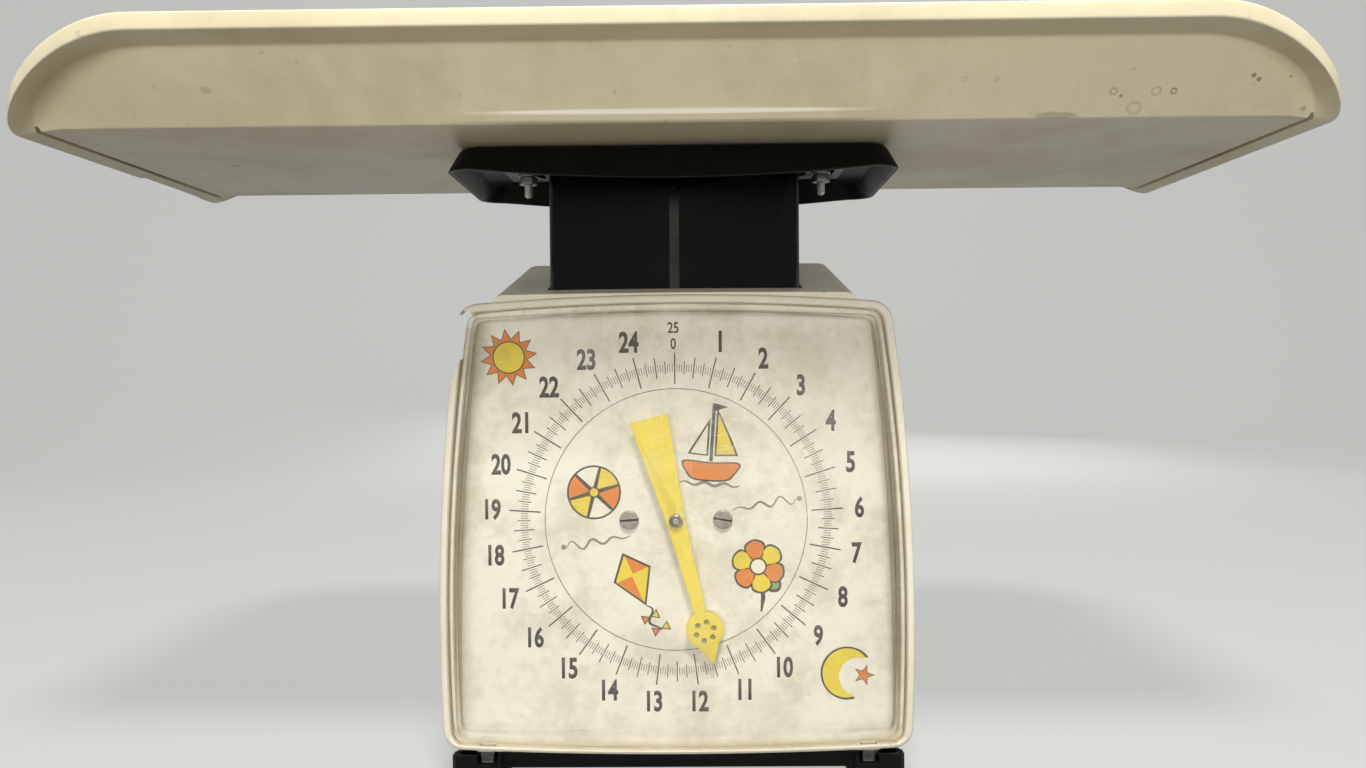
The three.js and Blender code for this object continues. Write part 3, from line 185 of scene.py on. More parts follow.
# A body of revolution from (place along the axis, radius) pairs.
def lathe(axis, profile, centre, sides=40, looped=False):
    return skin([[onAxis(axis, at, p) for p in circlePoints(radius, sides, centre)] for at, radius in profile], looped)


# A profile for lathe with its corners rounded, from (place, radius, rounding) triples.
def softProfile(corners, steps=4):
    line = softLine([(at, radius, 0) for at, radius, _ in corners], [r for _, _, r in corners], steps)
    return [(p.x, p.y) for p in line]


# A turned ring, from a closed loop of the same triples.
def ringBody(axis, corners, centre, sides=40):
    loop = [(at, radius, 0) for at, radius, _ in corners]
    line = []
    for i, (_, _, rounding) in enumerate(corners):
        line += softLine([loop[i - 1], loop[i], loop[(i + 1) % len(loop)]], [0, rounding, 0], 3)[1:-1]
    return lathe(axis, [(p.x, p.y) for p in line], centre, sides, True)


def applyModifiers(piece):
    bpy.context.view_layer.update()
    graph = bpy.context.evaluated_depsgraph_get()
    data = bpy.data.meshes.new_from_object(piece.evaluated_get(graph))
    piece.modifiers.clear()
    piece.data = data


def boolean(piece, shape, operation="DIFFERENCE"):
    tool = makePiece("tool", *shape)
    modifier = piece.modifiers.new("cut", "BOOLEAN")
    modifier.operation = operation
    modifier.solver = "EXACT"
    modifier.object = tool
    applyModifiers(piece)
    bpy.data.objects.remove(tool)


# A hole through a piece for each node that passes it.
def drill(piece, axis, radius, sides, start, end, *nodes):
    for node in nodes:
        boolean(piece, prism(axis, circlePoints(radius, sides, offAxis(axis, middleOf(node))), start, end))


def bevelPiece(piece, width, segments=2, degrees=38):
    modifier = piece.modifiers.new("edge", "BEVEL")
    modifier.width = width * mm
    modifier.segments = segments
    modifier.limit_method = "ANGLE"
    modifier.angle_limit = radians(degrees)
    modifier.use_clamp_overlap = True
    applyModifiers(piece)


# Marks how sharply narrow faces turn outwards, for worn edges. Wide faces stay unmarked.
def markEdges(piece, full=0.5, narrow=0.8):
    work = bmesh.new()
    work.from_mesh(piece.data)
    turns = {vert: max([edge.calc_face_angle_signed(0) for edge in vert.link_edges], default=0)
             for vert in work.verts}
    values = []
    for face in work.faces:
        strip = 2 * face.calc_area() < narrow * mm * face.calc_perimeter()
        values += [min(1, max(0, turns[loop.vert] / full)) if strip else 0 for loop in face.loops]
    work.free()
    piece.data.attributes.new("edgeTurn", "FLOAT", "CORNER").data.foreach_set("value", values)


def finishPiece(piece, *nodes, degrees=34):
    soften(piece, degrees)
    markEdges(piece)
    settle(piece, bodyOf(nodes[0]), *nodes)


def turnedPiece(node, shape, material, degrees=34):
    finishPiece(makePiece(node + ".fine", *shape, material), node, degrees=degrees)


# A CAD node's own shape with merged faces and softened edges.
def dress(node, material, bevel=0.3, wide=None, added=()):
    data = frame["nodes"][node].data.copy()
    piece = addObject(node + ".fine", data)
    data.materials.clear()
    data.materials.append(material)
    with editedMesh(data) as work:
        bmesh.ops.remove_doubles(work, verts=work.verts, dist=weld)
        bmesh.ops.dissolve_limit(work, angle_limit=radians(1), verts=work.verts, edges=work.edges)
        if wide:
            picked = [edge for edge in work.edges if all(wide["where"](v.co / mm) for v in edge.verts)]
            bmesh.ops.bevel(work, geom=picked, offset=wide["width"] * mm, segments=wide["segments"],
                            affect="EDGES", profile=0.5)
    for shape in added:
        boolean(piece, shape, "UNION")
    bevelPiece(piece, bevel)
    finishPiece(piece, node)
    return piece


# Shader node groups

def tone(code):
    parts = [int(code[i:i + 2], 16) / 255 for i in (1, 3, 5)]
    return (*[p / 12.92 if p <= 0.04045 else ((p + 0.055) / 1.055) ** 2.4 for p in parts], 1)


# Links or sets each named socket.
def feed(tree, sockets, values):
    for key, value in values.items():
        if isinstance(value, bpy.types.NodeSocket):
            tree.links.new(value, sockets[key])
        else:
            sockets[key].default_value = value


def addNode(tree, kind, inputs=None, **settings):
    node = tree.nodes.new(kind)
    for key, value in settings.items():
        setattr(node, key, value)
    feed(tree, node.inputs, inputs or {})
    return node


def doMath(tree, operation, a, b=0.0, clamp=False):
    return addNode(tree, "ShaderNodeMath", {0: a, 1: b}, operation=operation, use_clamp=clamp).outputs[0]


def times(tree, a, b):
    return doMath(tree, "MULTIPLY", a, b)


def plus(tree, a, b, clamp=False):
    return doMath(tree, "ADD", a, b, clamp)


def rampTo(tree, value, low, high, start=0.0, end=1.0):
    return addNode(tree, "ShaderNodeMapRange", {"Value": value, "From Min": low, "From Max": high, "To Min": start,
                                                "To Max": end}, interpolation_type="SMOOTHSTEP").outputs["Result"]


def mixColor(tree, share, a, b):
    return addNode(tree, "ShaderNodeMix", {0: share, 6: a, 7: b}, data_type="RGBA").outputs[2]


def noiseOf(tree, place, scale, detail=3.0, rough=0.55, warp=0.0):
    return addNode(tree, "ShaderNodeTexNoise", {"Vector": place, "Scale": scale, "Detail": detail,
                                                "Roughness": rough, "Distortion": warp}).outputs["Fac"]


def objectPlace(tree, scale=(1, 1, 1), shift=(0, 0, 0), turn=(0, 0, 0)):
    place = addNode(tree, "ShaderNodeTexCoord").outputs["Object"]
    return addNode(tree, "ShaderNodeMapping", {"Vector": place, "Scale": scale, "Location": shift,
                                               "Rotation": turn}).outputs["Vector"]


def attributeOf(tree, name):
    return addNode(tree, "ShaderNodeAttribute", attribute_name=name).outputs["Fac"]


def normalParts(tree):
    normal = addNode(tree, "ShaderNodeNewGeometry").outputs["Normal"]
    return addNode(tree, "ShaderNodeSeparateXYZ", {"Vector": normal}).outputs


def newGroup(name, inputs, outputs):
    tree = bpy.data.node_groups.new(name, "ShaderNodeTree")
    for way, sockets in (("INPUT", inputs), ("OUTPUT", outputs)):
        for socketName, value in sockets.items():
            kind = "NodeSocketColor" if isinstance(value, tuple) else "NodeSocketFloat"
            tree.interface.new_socket(socketName, in_out=way, socket_type=kind).default_value = value
    return tree, tree.nodes.new("NodeGroupInput").outputs, tree.nodes.new("NodeGroupOutput").inputs


def agedToneGroup():
    tree, given, put = newGroup("agedTone", {"Color": (1, 1, 1, 1), "Stain": (0.5, 0.4, 0.3, 1), "Mottle": 0.3,
                                             "Size": 12.0, "Specks": 0.0}, {"Color": (0, 0, 0, 1), "Dirt": 0.0})
    place = objectPlace(tree)
    broad = noiseOf(tree, place, given["Size"], 5, 0.62, 0.4)
    fine = noiseOf(tree, place, times(tree, given["Size"], 7.3), 3)
    blotch = rampTo(tree, plus(tree, times(tree, broad, 0.72), times(tree, fine, 0.28)), 0.42, 0.66)
    stain = times(tree, blotch, given["Mottle"])
    dots = rampTo(tree, noiseOf(tree, place, times(tree, given["Size"], 24), 1), 0.73, 0.78)
    dots = times(tree, dots, given["Specks"])
    tinted = mixColor(tree, stain, given["Color"], given["Stain"])
    dark = mixColor(tree, 0.6, given["Stain"], (0.02, 0.015, 0.01, 1))
    feed(tree, put, {"Color": mixColor(tree, dots, tinted, dark), "Dirt": doMath(tree, "MAXIMUM", stain, dots)})
    return tree


def edgeToneGroup():
    tree, given, put = newGroup("edgeTone", {"Amount": 0.5, "Size": 60.0}, {"Mask": 0.0})
    patch = doMath(tree, "SUBTRACT", noiseOf(tree, objectPlace(tree), given["Size"], 4, 0.6), 0.5)
    mask = rampTo(tree, plus(tree, attributeOf(tree, "edgeTurn"), patch), 0.42, 0.85)
    feed(tree, put, {"Mask": times(tree, mask, given["Amount"])})
    return tree


def fineScratchesGroup():
    tree, given, put = newGroup("fineScratches", {"Amount": 0.5, "Size": 30.0}, {"Mask": 0.0, "Height": 0.0})
    lines = []
    for scale, turn in (((1, 1, 9), (0, 0.5, 0.3)), ((8, 1, 1), (0, -0.3, 0.2)), ((1, 6, 7), (0.2, 0.2, 1.2))):
        line = noiseOf(tree, objectPlace(tree, scale, (0, 0, 0), turn), given["Size"], 2, 0.5, 0.3)
        off = doMath(tree, "ABSOLUTE", doMath(tree, "SUBTRACT", line, 0.5))
        lines.append(rampTo(tree, off, 0.0, 0.006, 1.0, 0.0))
    total = doMath(tree, "MAXIMUM", doMath(tree, "MAXIMUM", lines[0], lines[1]), lines[2])
    patch = rampTo(tree, noiseOf(tree, objectPlace(tree, shift=(3, 1, 2)), given["Size"], 2), 0.5, 0.64)
    mask = times(tree, times(tree, total, patch), given["Amount"])
    feed(tree, put, {"Mask": mask, "Height": times(tree, mask, -1.0)})
    return tree


def dustTopGroup():
    tree, given, put = newGroup("dustTop", {"Amount": 0.4, "Size": 40.0}, {"Mask": 0.0})
    up = rampTo(tree, normalParts(tree)["Z"], 0.35, 0.95)
    cloud = rampTo(tree, noiseOf(tree, objectPlace(tree), given["Size"], 5, 0.65), 0.3, 0.75, 0.35, 1.0)
    feed(tree, put, {"Mask": times(tree, times(tree, up, cloud), given["Amount"])})
    return tree


groups = {"agedTone": agedToneGroup(), "edgeTone": edgeToneGroup(), "fineScratches": fineScratchesGroup(),
          "dustTop": dustTopGroup()}
print("shader groups built:", len(groups))


def useGroup(tree, name, **values):
    node = addNode(tree, "ShaderNodeGroup", node_tree=groups[name])
    feed(tree, node.inputs, values)
    return node.outputs


# Materials

def newMaterial(name):
    material = bpy.data.materials.new(name)
    material.use_nodes = True
    tree = material.node_tree
    return material, tree, tree.nodes["Principled BSDF"]


def bumpOf(tree, height, strength, distance):
    return addNode(tree, "ShaderNodeBump", {"Height": height, "Strength": strength,
                                            "Distance": distance}).outputs["Normal"]


# A spot, ring or smear at a place on the surface, with a ragged outline. Sizes are in millimetres.
def markMask(tree, place, radius, strength, hollow=0.0, stretch=(1, 1, 1), ragged=0.5):
    centre = tuple(-v * mm * s for v, s in zip(place, stretch))
    far = addNode(tree, "ShaderNodeVectorMath", {0: objectPlace(tree, stretch, centre)},
                  operation="LENGTH").outputs["Value"]
    wobble = doMath(tree, "SUBTRACT", noiseOf(tree, objectPlace(tree), 420.0 / radius, 3), 0.5)
    far = plus(tree, far, times(tree, wobble, radius * mm * ragged))
    mask = rampTo(tree, far, radius * mm * 0.7, radius * mm, 1.0, 0.0)
    if hollow:
        mask = times(tree, mask, rampTo(tree, far, radius * mm * hollow * 0.6, radius * mm * hollow))
    return times(tree, mask, strength)


# One opaque finish: a base colour that age, worn edges, scratches, marks, painted shade in screw slots and dust change,
# and a grained surface.
def makeSurface(name, color, rough, metallic=0.0, stain="#8a7550", mottle=0.25, size=12.0, specks=0.0,
                worn="#ffffff", wear=0.0, scratch=0.0, scratchSize=24.0, dust=0.0, dustColor="#b9b2a2",
                grain=0.05, grainSize=900.0, specular=0.5, paintedSlotShade=0.0, marks=()):
    material, tree, shader = newMaterial(name)
    aged = useGroup(tree, "agedTone", Color=tone(color), Stain=tone(stain), Mottle=mottle, Size=size, Specks=specks)
    base = aged["Color"]
    roughness = plus(tree, rough, times(tree, aged["Dirt"], 0.2))
    height = times(tree, noiseOf(tree, objectPlace(tree), grainSize, 2), grain)
    if wear:
        base = mixColor(tree, useGroup(tree, "edgeTone", Amount=wear)["Mask"], base, tone(worn))
    if scratch:
        lines = useGroup(tree, "fineScratches", Amount=scratch, Size=scratchSize)
        base = mixColor(tree, times(tree, lines["Mask"], 0.5), base, tone(worn))
        height = plus(tree, height, times(tree, lines["Height"], 0.3))
    for place, radius, strength, markColor, shape in marks:
        base = mixColor(tree, markMask(tree, place, radius, strength, **shape), base, tone(markColor))
    # Painted shade: the faces marked for it, the screw slots, take a dark brown
    if paintedSlotShade:
        base = mixColor(tree, times(tree, attributeOf(tree, "paintedSlotShade"), paintedSlotShade), base, tone("#2b2720"))
    if dust:
        film = useGroup(tree, "dustTop", Amount=dust)["Mask"]
        base = mixColor(tree, film, base, tone(dustColor))
        roughness = plus(tree, roughness, times(tree, film, 0.5))
    feed(tree, shader.inputs, {
        "Base Color": base, "Roughness": plus(tree, roughness, 0.0, True), "Metallic": metallic, "Coat Roughness": 0.15,
        "Specular IOR Level": specular, "Normal": bumpOf(tree, height, 0.35, 0.0004)})
    return material


creamHousing = makeSurface("creamHousing", "#eee7d2", 0.34, stain="#c4b080", size=14, specks=0.35, worn="#f7f2e2",
                           wear=0.25, scratch=0.35, dust=0.25, dustColor="#cfc6b0", grain=0.04)
blackPlastic = makeSurface("blackPlastic", "#0e0d0b", 0.42, stain="#17150f", mottle=0.3, size=22, worn="#3a372f",
                           wear=0.25, dust=0.05, dustColor="#5e574b", grain=0.12, grainSize=1400, specular=0.1)
blackPaint = makeSurface("blackPaint", "#070708", 0.36, stain="#120f0b", mottle=0.2, size=26, worn="#4d4a45",
                         wear=0.45, dust=0.2, dustColor="#575145", grain=0.14, grainSize=700, specular=0.16)
yellowPaint = makeSurface("yellowPaint", "#f1dd5e", 0.4, stain="#cdb54a", size=40, specks=0.2, worn="#8f8a5e",
                          wear=0.35, scratch=0.25, scratchSize=60, grain=0.03)
# A darker olive for the pointer's side faces, and painted shade in its dimples
pointerSideAndDimpleShade = makeSurface("pointerSideAndDimpleShade", "#a09a66", 0.5, stain="#6d6a4d", mottle=0.4, size=80)
columnInside = makeSurface("columnInside", "#c2bdb0", 0.5, stain="#7d7360", mottle=0.4, size=30, grain=0.1)
rubberBlack = makeSurface("rubberBlack", "#1c1b19", 0.85, stain="#3a3731", mottle=0.5, size=60, wear=0.3,
                          worn="#55524b", dust=0.3, grain=0.5, grainSize=1500, specular=0.3)
brassCut = makeSurface("brassCut", "#b89a55", 0.32, 1.0, stain="#6d5730", mottle=0.5, size=90, worn="#e6cf8f",
                       wear=0.5, scratch=0.5, scratchSize=120, grain=0.06)
steelBare = makeSurface("steelBare", "#97968f", 0.38, 1.0, stain="#5b4a35", mottle=0.4, size=34, specks=0.4,
                        worn="#c8c7c2", wear=0.4, scratch=0.6, scratchSize=50, dust=0.25, grain=0.08)
# Zinc plate, with painted shade in the screw slots
zincPlate = makeSurface("zincPlate", "#b0aca1", 0.44, 0.5, stain="#6f6857", mottle=0.5, size=150, specks=0.3,
                        worn="#dcdad2", wear=0.5, scratch=0.5, scratchSize=160, dust=0.1, grain=0.1, grainSize=2200,
                        paintedSlotShade=0.9)

# The marks on the tray, most left by use, with a painted highlight along the bead and painted shade in the end grooves:
# place, radius, strength, colour and what shapes the mark
trayMarksAndPaintedLight = [
    ((133, -98, 310.5), 1.3, 0.3, "#8a7a55", {"hollow": 0.4}),
    ((120, -98, 311), 1.6, 0.22, "#8a7a55", {"hollow": 0.5}),
    ((181.6, -94.4, 306), 2.0, 0.45, "#7d7050", {"hollow": 0.55}),
    ((185, -93, 304.6), 0.9, 0.6, "#6f6242", {}),
    ((199, -94.3, 306), 2.5, 0.4, "#85775a", {"hollow": 0.65}),
    ((206, -94.2, 306), 1.9, 0.6, "#7a6438", {"hollow": 0.5}),
    ((191.7, -89.7, 300.3), 3.8, 0.3, "#8b7d58", {"hollow": 0.72}),
    ((236.5, -98.3, 311), 1.2, 0.7, "#6a5a3a", {}),
    ((239.1, -97.2, 309.7), 1.1, 0.7, "#6a5a3a", {}),
    ((251.6, -97.9, 310.5), 0.9, 0.45, "#7a6b48", {}),
    ((261.4, -89.1, 299.6), 1.5, 0.4, "#7a6b48", {}),
    ((160, -87.6, 298.2), 2.0, 0.45, "#8a7a55", {"stretch": (0.2, 1, 1)}),
    ((-219, -3.4, 297), 1.2, 0.9, "#2f2b22", {"stretch": (0.45, 1, 1)}),
    ((-235, 9.2, 297), 1.0, 0.45, "#5c5544", {"stretch": (0.5, 1, 1)}),
    ((-226, -28, 297), 1.1, 0.6, "#d8d0b8", {"stretch": (0.25, 1, 1)}),
    ((-190, -97.5, 310), 1.4, 0.3, "#8a7a55", {"stretch": (0.5, 1, 0.6)}),
    ((0, -90.8, 301), 85, 0.8, "#fffbe9", {"stretch": (1, 34, 62), "ragged": 0.2}),  # painted highlight: a pale band along the bead's upper edge
]
for side in (-1, 1):  # painted shade darkening the grooves along both ends
    trayMarksAndPaintedLight.append(((side * 265.7, 0, 297.4), 92, 0.92, "#2e2719", {"stretch": (64, 1, 40), "ragged": 0.1}))
creamTray = makeSurface("creamTray", "#e5dab6", 0.36, stain="#b9a679", mottle=0.35, size=9, specks=0.2,
                        worn="#fbf8ec", wear=0.2, scratch=0.3, scratchSize=16, dust=0.12, dustColor="#d2c9b2",
                        grain=0.03, marks=trayMarksAndPaintedLight)

# The dial is aged white enamel with faint blotches and small rubbed spots
dialCard = makeSurface("dialCard", "#f7f4e6", 0.5, stain="#cdc8b0", mottle=0.6, size=32, specks=0.06, grain=0.03,
                       scratch=0.2, scratchSize=40, worn="#b7ad92")
ink = {"dark": "#4a4842", "grey": "#8d8a80", "yellow": "#f0d94a", "orange": "#e88a3a", "green": "#8fa965",
       "white": "#f6f1df"}
inks = {name: makeSurface("ink." + name, color, 0.55, stain="#8d8468", mottle=0.22, size=60, grain=0.02)
        for name, color in ink.items()}

lensTones = {"clear": "#fefdfb", "edge": "#bdb7a4", "haze": "#f4f1e6"}
lensShares = {"shine": 0.03, "gloss": 0.05, "haze": 0.14, "rimHaze": 0.12}


# The cover is clear, greyer at its flanks and folds, and hazy where it is rubbed or seen edge on
def makeClearCover():
    material, tree, shader = newMaterial("clearCover")
    tree.nodes.remove(shader)
    cloud = rampTo(tree, noiseOf(tree, objectPlace(tree, (1, 1, 0.7), (0.2, 0, 0.1)), 16, 6, 0.62, 0.6), 0.5, 0.75)
    lines = useGroup(tree, "fineScratches", Amount=0.4, Size=13.0)
    edge = useGroup(tree, "edgeTone", Amount=0.5, Size=30.0)["Mask"]
    parts = normalParts(tree)
    side = rampTo(tree, doMath(tree, "ABSOLUTE", parts["Y"]), 0.4, 0.97, 1.0, 0.0)
    flank = rampTo(tree, doMath(tree, "ABSOLUTE", parts["X"]), 0.25, 0.9)
    rim = times(tree, side, lensShares["rimHaze"])
    rubbed = times(tree, doMath(tree, "MAXIMUM", lines["Mask"], edge), 0.3)
    haze = plus(tree, times(tree, cloud, lensShares["haze"]), doMath(tree, "MAXIMUM", rubbed, rim), True)
    fold = doMath(tree, "MULTIPLY", edge, 1.4, True)
    tint = mixColor(tree, doMath(tree, "MAXIMUM", flank, fold), tone(lensTones["clear"]), tone(lensTones["edge"]))
    clear = addNode(tree, "ShaderNodeBsdfTransparent", {"Color": tint}).outputs[0]
    gloss = addNode(tree, "ShaderNodeBsdfGlossy", {"Color": (1, 1, 1, 1), "Roughness": lensShares["gloss"],
                                                   "Normal": bumpOf(tree, lines["Height"], 0.2, 0.0003)}).outputs[0]
    film = addNode(tree, "ShaderNodeBsdfDiffuse", {"Color": tone(lensTones["haze"])}).outputs[0]
    away = addNode(tree, "ShaderNodeLayerWeight", {"Blend": 0.5}).outputs["Facing"]
    shine = plus(tree, times(tree, doMath(tree, "POWER", away, 5.0), 0.8), lensShares["shine"])
    body = addNode(tree, "ShaderNodeMixShader", {0: shine, 1: clear, 2: gloss}).outputs[0]
    whole = addNode(tree, "ShaderNodeMixShader", {0: haze, 1: body, 2: film}).outputs[0]
    feed(tree, tree.nodes["Material Output"].inputs, {"Surface": whole})
    return material


clearCover = makeClearCover()
print("materials made:", len(bpy.data.materials))


# Tray

tray = {
    "sideFlange": 19.5, "wallRun": 22.5, "wallRise": 27.8, "endFlange": 7.3, "endSlope": 8.2, "cornerLength": 67,
    "cornerDepth": 40, "endCreaseDrop": 1, "endFlangeDrop": 3.7, "lip": 7.2, "thickness": 2.8, "lipThickness": 3,
    "inset": 6, "gap": 0.3, "stations": {"side": 30, "corner": 28, "end": 10},
    "ridge": {"half": 87, "out": 1.1, "low": 0.05, "high": 0.14, "top": 0.165, "taper": 9},
    "groove": {"width": 2.3, "depth": 1.9, "past": 3.0},
    # The left end's lower edge has cracked, and its rear half stands further in
    "crack": {"low": 288, "high": 296.6, "outline": [
        (-280, 8.2), (-272, 8.8), (-271.2, 9.6), (-271.3, 40), (-271.8, 70), (-273.4, 84), (-280, 84)]},
}
trayBends = {"panel": 1.0, "ridge": 0.5, "fold": 1.3, "edge": 1.0, "lip": 1.3, "foot": 1.0, "foldIn": 3.5,
             "panelIn": 5.0}
boltHole = 2.4
trayBolts = ("tray_bolt_left", "tray_bolt_right")
edgeX, edgeY = boxOf("tray")[1].xy
foldX, foldY = edgeX - tray["endFlange"], edgeY - tray["sideFlange"]
panelX, panelY = foldX - tray["endSlope"], foldY - tray["wallRun"]
insetX, insetY = panelX - tray["inset"], panelY - tray["inset"]
trayUnder = boxOf("tray_support")[1].z + tray["gap"]


# One quarter, from the middle of the front to the middle of an end: panel edge, fold and outer edge.
def trayQuarter():
    straightX = edgeX - tray["cornerLength"]
    low, rise, drop = -tray["endFlangeDrop"], tray["wallRise"], tray["endCreaseDrop"]
    counts = tray["stations"]
    stations = []
    for i in range(counts["side"]):
        x = straightX * i / counts["side"]
        stations.append([(x, -panelY, 0), (x, -foldY, rise), (x, -edgeY, rise)])
    for i in range(counts["corner"] + 1):
        angle = pi / 2 * i / counts["corner"]
        high = cos(angle)
        panel, fold, edge = [straightX + (end - straightX) * sin(angle) for end in (panelX, foldX, edgeX)]
        stations.append([(panel, -panelY, 0), (fold, -panelY - tray["wallRun"] * high, (rise + drop) * high - drop),
                         (edge, -edgeY + tray["cornerDepth"] * (1 - high), low + (rise - low) * high ** 2)])
    for i in range(1, counts["end"] + 1):
        left = 1 - i / counts["end"]
        stations.append([(panelX, -panelY * left, 0), (foldX, -panelY * left, -drop),
                         (edgeX, (tray["cornerDepth"] - edgeY) * left, low)])
    return stations


def traySection(station):
    panel, fold, edge = [Vector(p) for p in station]
    thick, ridge = tray["thickness"], tray["ridge"]
    out = Vector((edge.x - panel.x, edge.y - panel.y, 0)).normalized()
    up = Vector((0, 0, 1))
    wall, flange = fold - panel, edge - fold
    legs = [Vector((v.dot(out), v.z)).normalized() for v in (wall, flange)]
    across = [Vector((-leg.y, leg.x)) for leg in legs]

    def miter(a, b):
        middle = (a + b).normalized()
        move = middle * (thick / middle.dot(a))
        return out * move.x + up * move.y

    inner = Vector((*[copysign(min(abs(v), inset), v) for v, inset in zip(panel.xy, (insetX, insetY))], panel.z))
    swell = max(0, min(1, (1 - abs(panel.x) / ridge["half"]) * ridge["taper"])) * ridge["out"]
    proud = (out * legs[0].y - up * legs[0].x) * (swell if abs(panel.y) > insetY else 0)
    top = edge + up * tray["lip"]
    inside = -out * tray["lipThickness"]
    points = [inner, panel, panel + wall * ridge["low"] + proud, panel + wall * ridge["high"] + proud,
              panel + wall * ridge["top"], fold, edge, top, top + inside, edge + inside + up * thick,
              fold + miter(*across), panel + miter(Vector((0, 1)), across[0]), inner + up * thick]
    bends = ("panel", "ridge", "ridge", None, "fold", "edge", "lip", "lip", "foot", "foldIn", "panelIn", None)
    return softLine(points, [0] + [trayBends.get(bend, 0) for bend in bends])


def makeTray():
    quarter = trayQuarter()
    around = []
    for turn, x, y in ((1, 1, 1), (-1, 1, -1), (1, -1, -1), (-1, -1, 1)):
        around += [[(p[0] * x, p[1] * y, p[2]) for p in station] for station in quarter[::turn][:-1]]
    rings = [[(p.x, p.y, p.z + trayUnder) for p in ring] for ring in zip(*[traySection(s) for s in around])]
    piece = makePiece("tray.fine", *skin(rings), creamTray)
    groove, crack = tray["groove"], tray["crack"]
    reach, half = insetY + tray["inset"], groove["width"] / 2
    under = trayUnder - tray["endCreaseDrop"]
    for x in (-foldX, foldX):
        outline = [(x - half, -reach), (x, -reach - groove["past"]), (x + half, -reach),
                   (x + half, reach), (x, reach + groove["past"]), (x - half, reach)]
        boolean(piece, prism("z", outline, under - 3, under + groove["depth"]))
    drill(piece, "z", boltHole, 32, trayUnder - overcut, trayUnder + 2 * overcut, *trayBolts)
    boolean(piece, prism("z", crack["outline"], crack["low"], crack["high"]))
    finishPiece(piece, "tray", degrees=30)


makeTray()
print("tray made")


# Support under the tray

support = {
    "topHalf": 99.5, "topDepthHalf": 46, "rimFrontHalf": 104.2, "rimBackHalf": 106.2, "rimDepthHalf": 51,
    "drop": 11.4, "dip": 4.7, "wall": 2.7, "corner": 12, "sideSteps": 24, "cornerSteps": 6, "inset": 24,
    "topRound": 2.6, "rimRound": 0.9, "insideRound": 2.0,
}


def supportOutline(front, back, depth, inset, height):
    reach = depth - inset
    corner = max(0.5, support["corner"] - inset)

    def halfAt(y):
        return front + (back - front) * (y + depth) / (2 * depth) - inset

    def quarter(sx, sy):
        ends = [(x, sy * y) for x, y in arc(corner, 0, pi / 2, support["cornerSteps"], (-corner, reach - corner))]
        return [(sx * (halfAt(y) + x), y) for x, y in ends]

    def side(sign):
        end, steps = halfAt(sign * reach) - corner, support["sideSteps"]
        return [(sign * end * (1 - 2 * i / steps), sign * reach) for i in range(1, steps)]

    points = quarter(1, -1)[::-1] + quarter(1, 1) + side(1) + quarter(-1, 1)[::-1] + quarter(-1, -1) + side(-1)
    return [(x, y, height(x, y)) for x, y in points]


def makeSupport():
    s = support
    top = boxOf("tray_support")[1].z
    under = top - s["wall"]

    def rimHeight(x, y):
        across = min(1, abs(x) / (s["rimFrontHalf"] - s["corner"]))
        share = max(0, min(1, (abs(y) - s["rimDepthHalf"] + s["corner"]) / s["corner"] * 2))
        return top - s["drop"] - s["dip"] * share * (1 - across ** 2)

    def topRing(inset, z):
        return supportOutline(s["topHalf"], s["topHalf"], s["topDepthHalf"], inset, lambda x, y: z)

    def rimRing(inset):
        return supportOutline(s["rimFrontHalf"], s["rimBackHalf"], s["rimDepthHalf"], inset, rimHeight)

    keys = [topRing(s["inset"], top), topRing(0.4, top), rimRing(0), rimRing(s["wall"]), topRing(s["wall"], under),
            topRing(s["inset"], under)]
    radii = [0, s["topRound"], s["rimRound"], s["rimRound"], s["insideRound"], 0]
    piece = makePiece("traySupport.fine", *skin(softRings(keys, radii, 5)), blackPlastic)
    drill(piece, "z", boltHole, 32, under - overcut, top + overcut, *trayBolts)
    finishPiece(piece, "tray_support", degrees=40)


makeSupport()


# Column

column = {"half": 59.75, "wall": 1.9, "cornerRound": 2.0, "capInside": 1}
columnLow, columnHigh = boxOf("column")


# The column is bare metal inside, which shows a little grey through its slot
def makeColumn():
    half, wall, front, back = column["half"], column["wall"], columnLow.y, columnHigh.y
    top = columnHigh.z - column["capInside"]

    def atCorner(p):
        return abs(abs(p.x) - half) < 0.05 and min(abs(p.y - front), abs(p.y - back)) < 0.05

    piece = dress("column", blackPaint, 0.35, {"width": column["cornerRound"], "segments": 4, "where": atCorner})
    piece.data.materials.append(columnInside)
    for face in piece.data.polygons:
        spot = face.center / mm
        if abs(spot.x) < half - wall and front + wall < spot.y < back - wall and spot.z < top:
            face.material_index = 1


makeColumn()
print("support and column made")


# Housing, lens and dial share one outline: bulging sides, rounded corners

housing = {
    "topHalf": 99.6, "bottomHalf": 108.6, "height": 206.1, "cornerLift": 3, "sideBulge": 5.1, "topBulge": 4.2,
    "bottomBulge": 3, "corner": 9, "front": -44, "depth": 7.8, "lip": 3.9, "lipRound": 3.0, "lipInner": 0.7,
    "lipFoot": 0.8, "ledge": 2.5, "ledgeRun": 9.6, "sideSteps": 26, "cornerSteps": 8, "frontInset": 10,
    "screwHole": 2.0, "screwReach": 110, "brokenPast": 0.6,
    # The lip is broken away beside the dial's upper left corner
    "broken": [(-93.4, 220.4), (-97.2, 221.8), (-99.6, 219.8), (-101.2, 220.6), (-114, 219.4), (-114, 186.6),
               (-105.2, 186.6), (-103.6, 189.4), (-102.3, 191.8), (-100.4, 195.0), (-99.0, 198.4), (-98.0, 200.6),
               (-96.2, 204.0)],
}
shell = {
    "topHalf": 84.7, "bottomHalf": 97, "roof": 214.1, "roofRise": 25.3, "back": 78, "sideBulge": 3.2,
    "topBulge": 0.6, "bottomBulge": 0, "corner": 5, "backRound": 8, "wall": 2.5, "steps": 6, "columnPlay": 1.2,
}
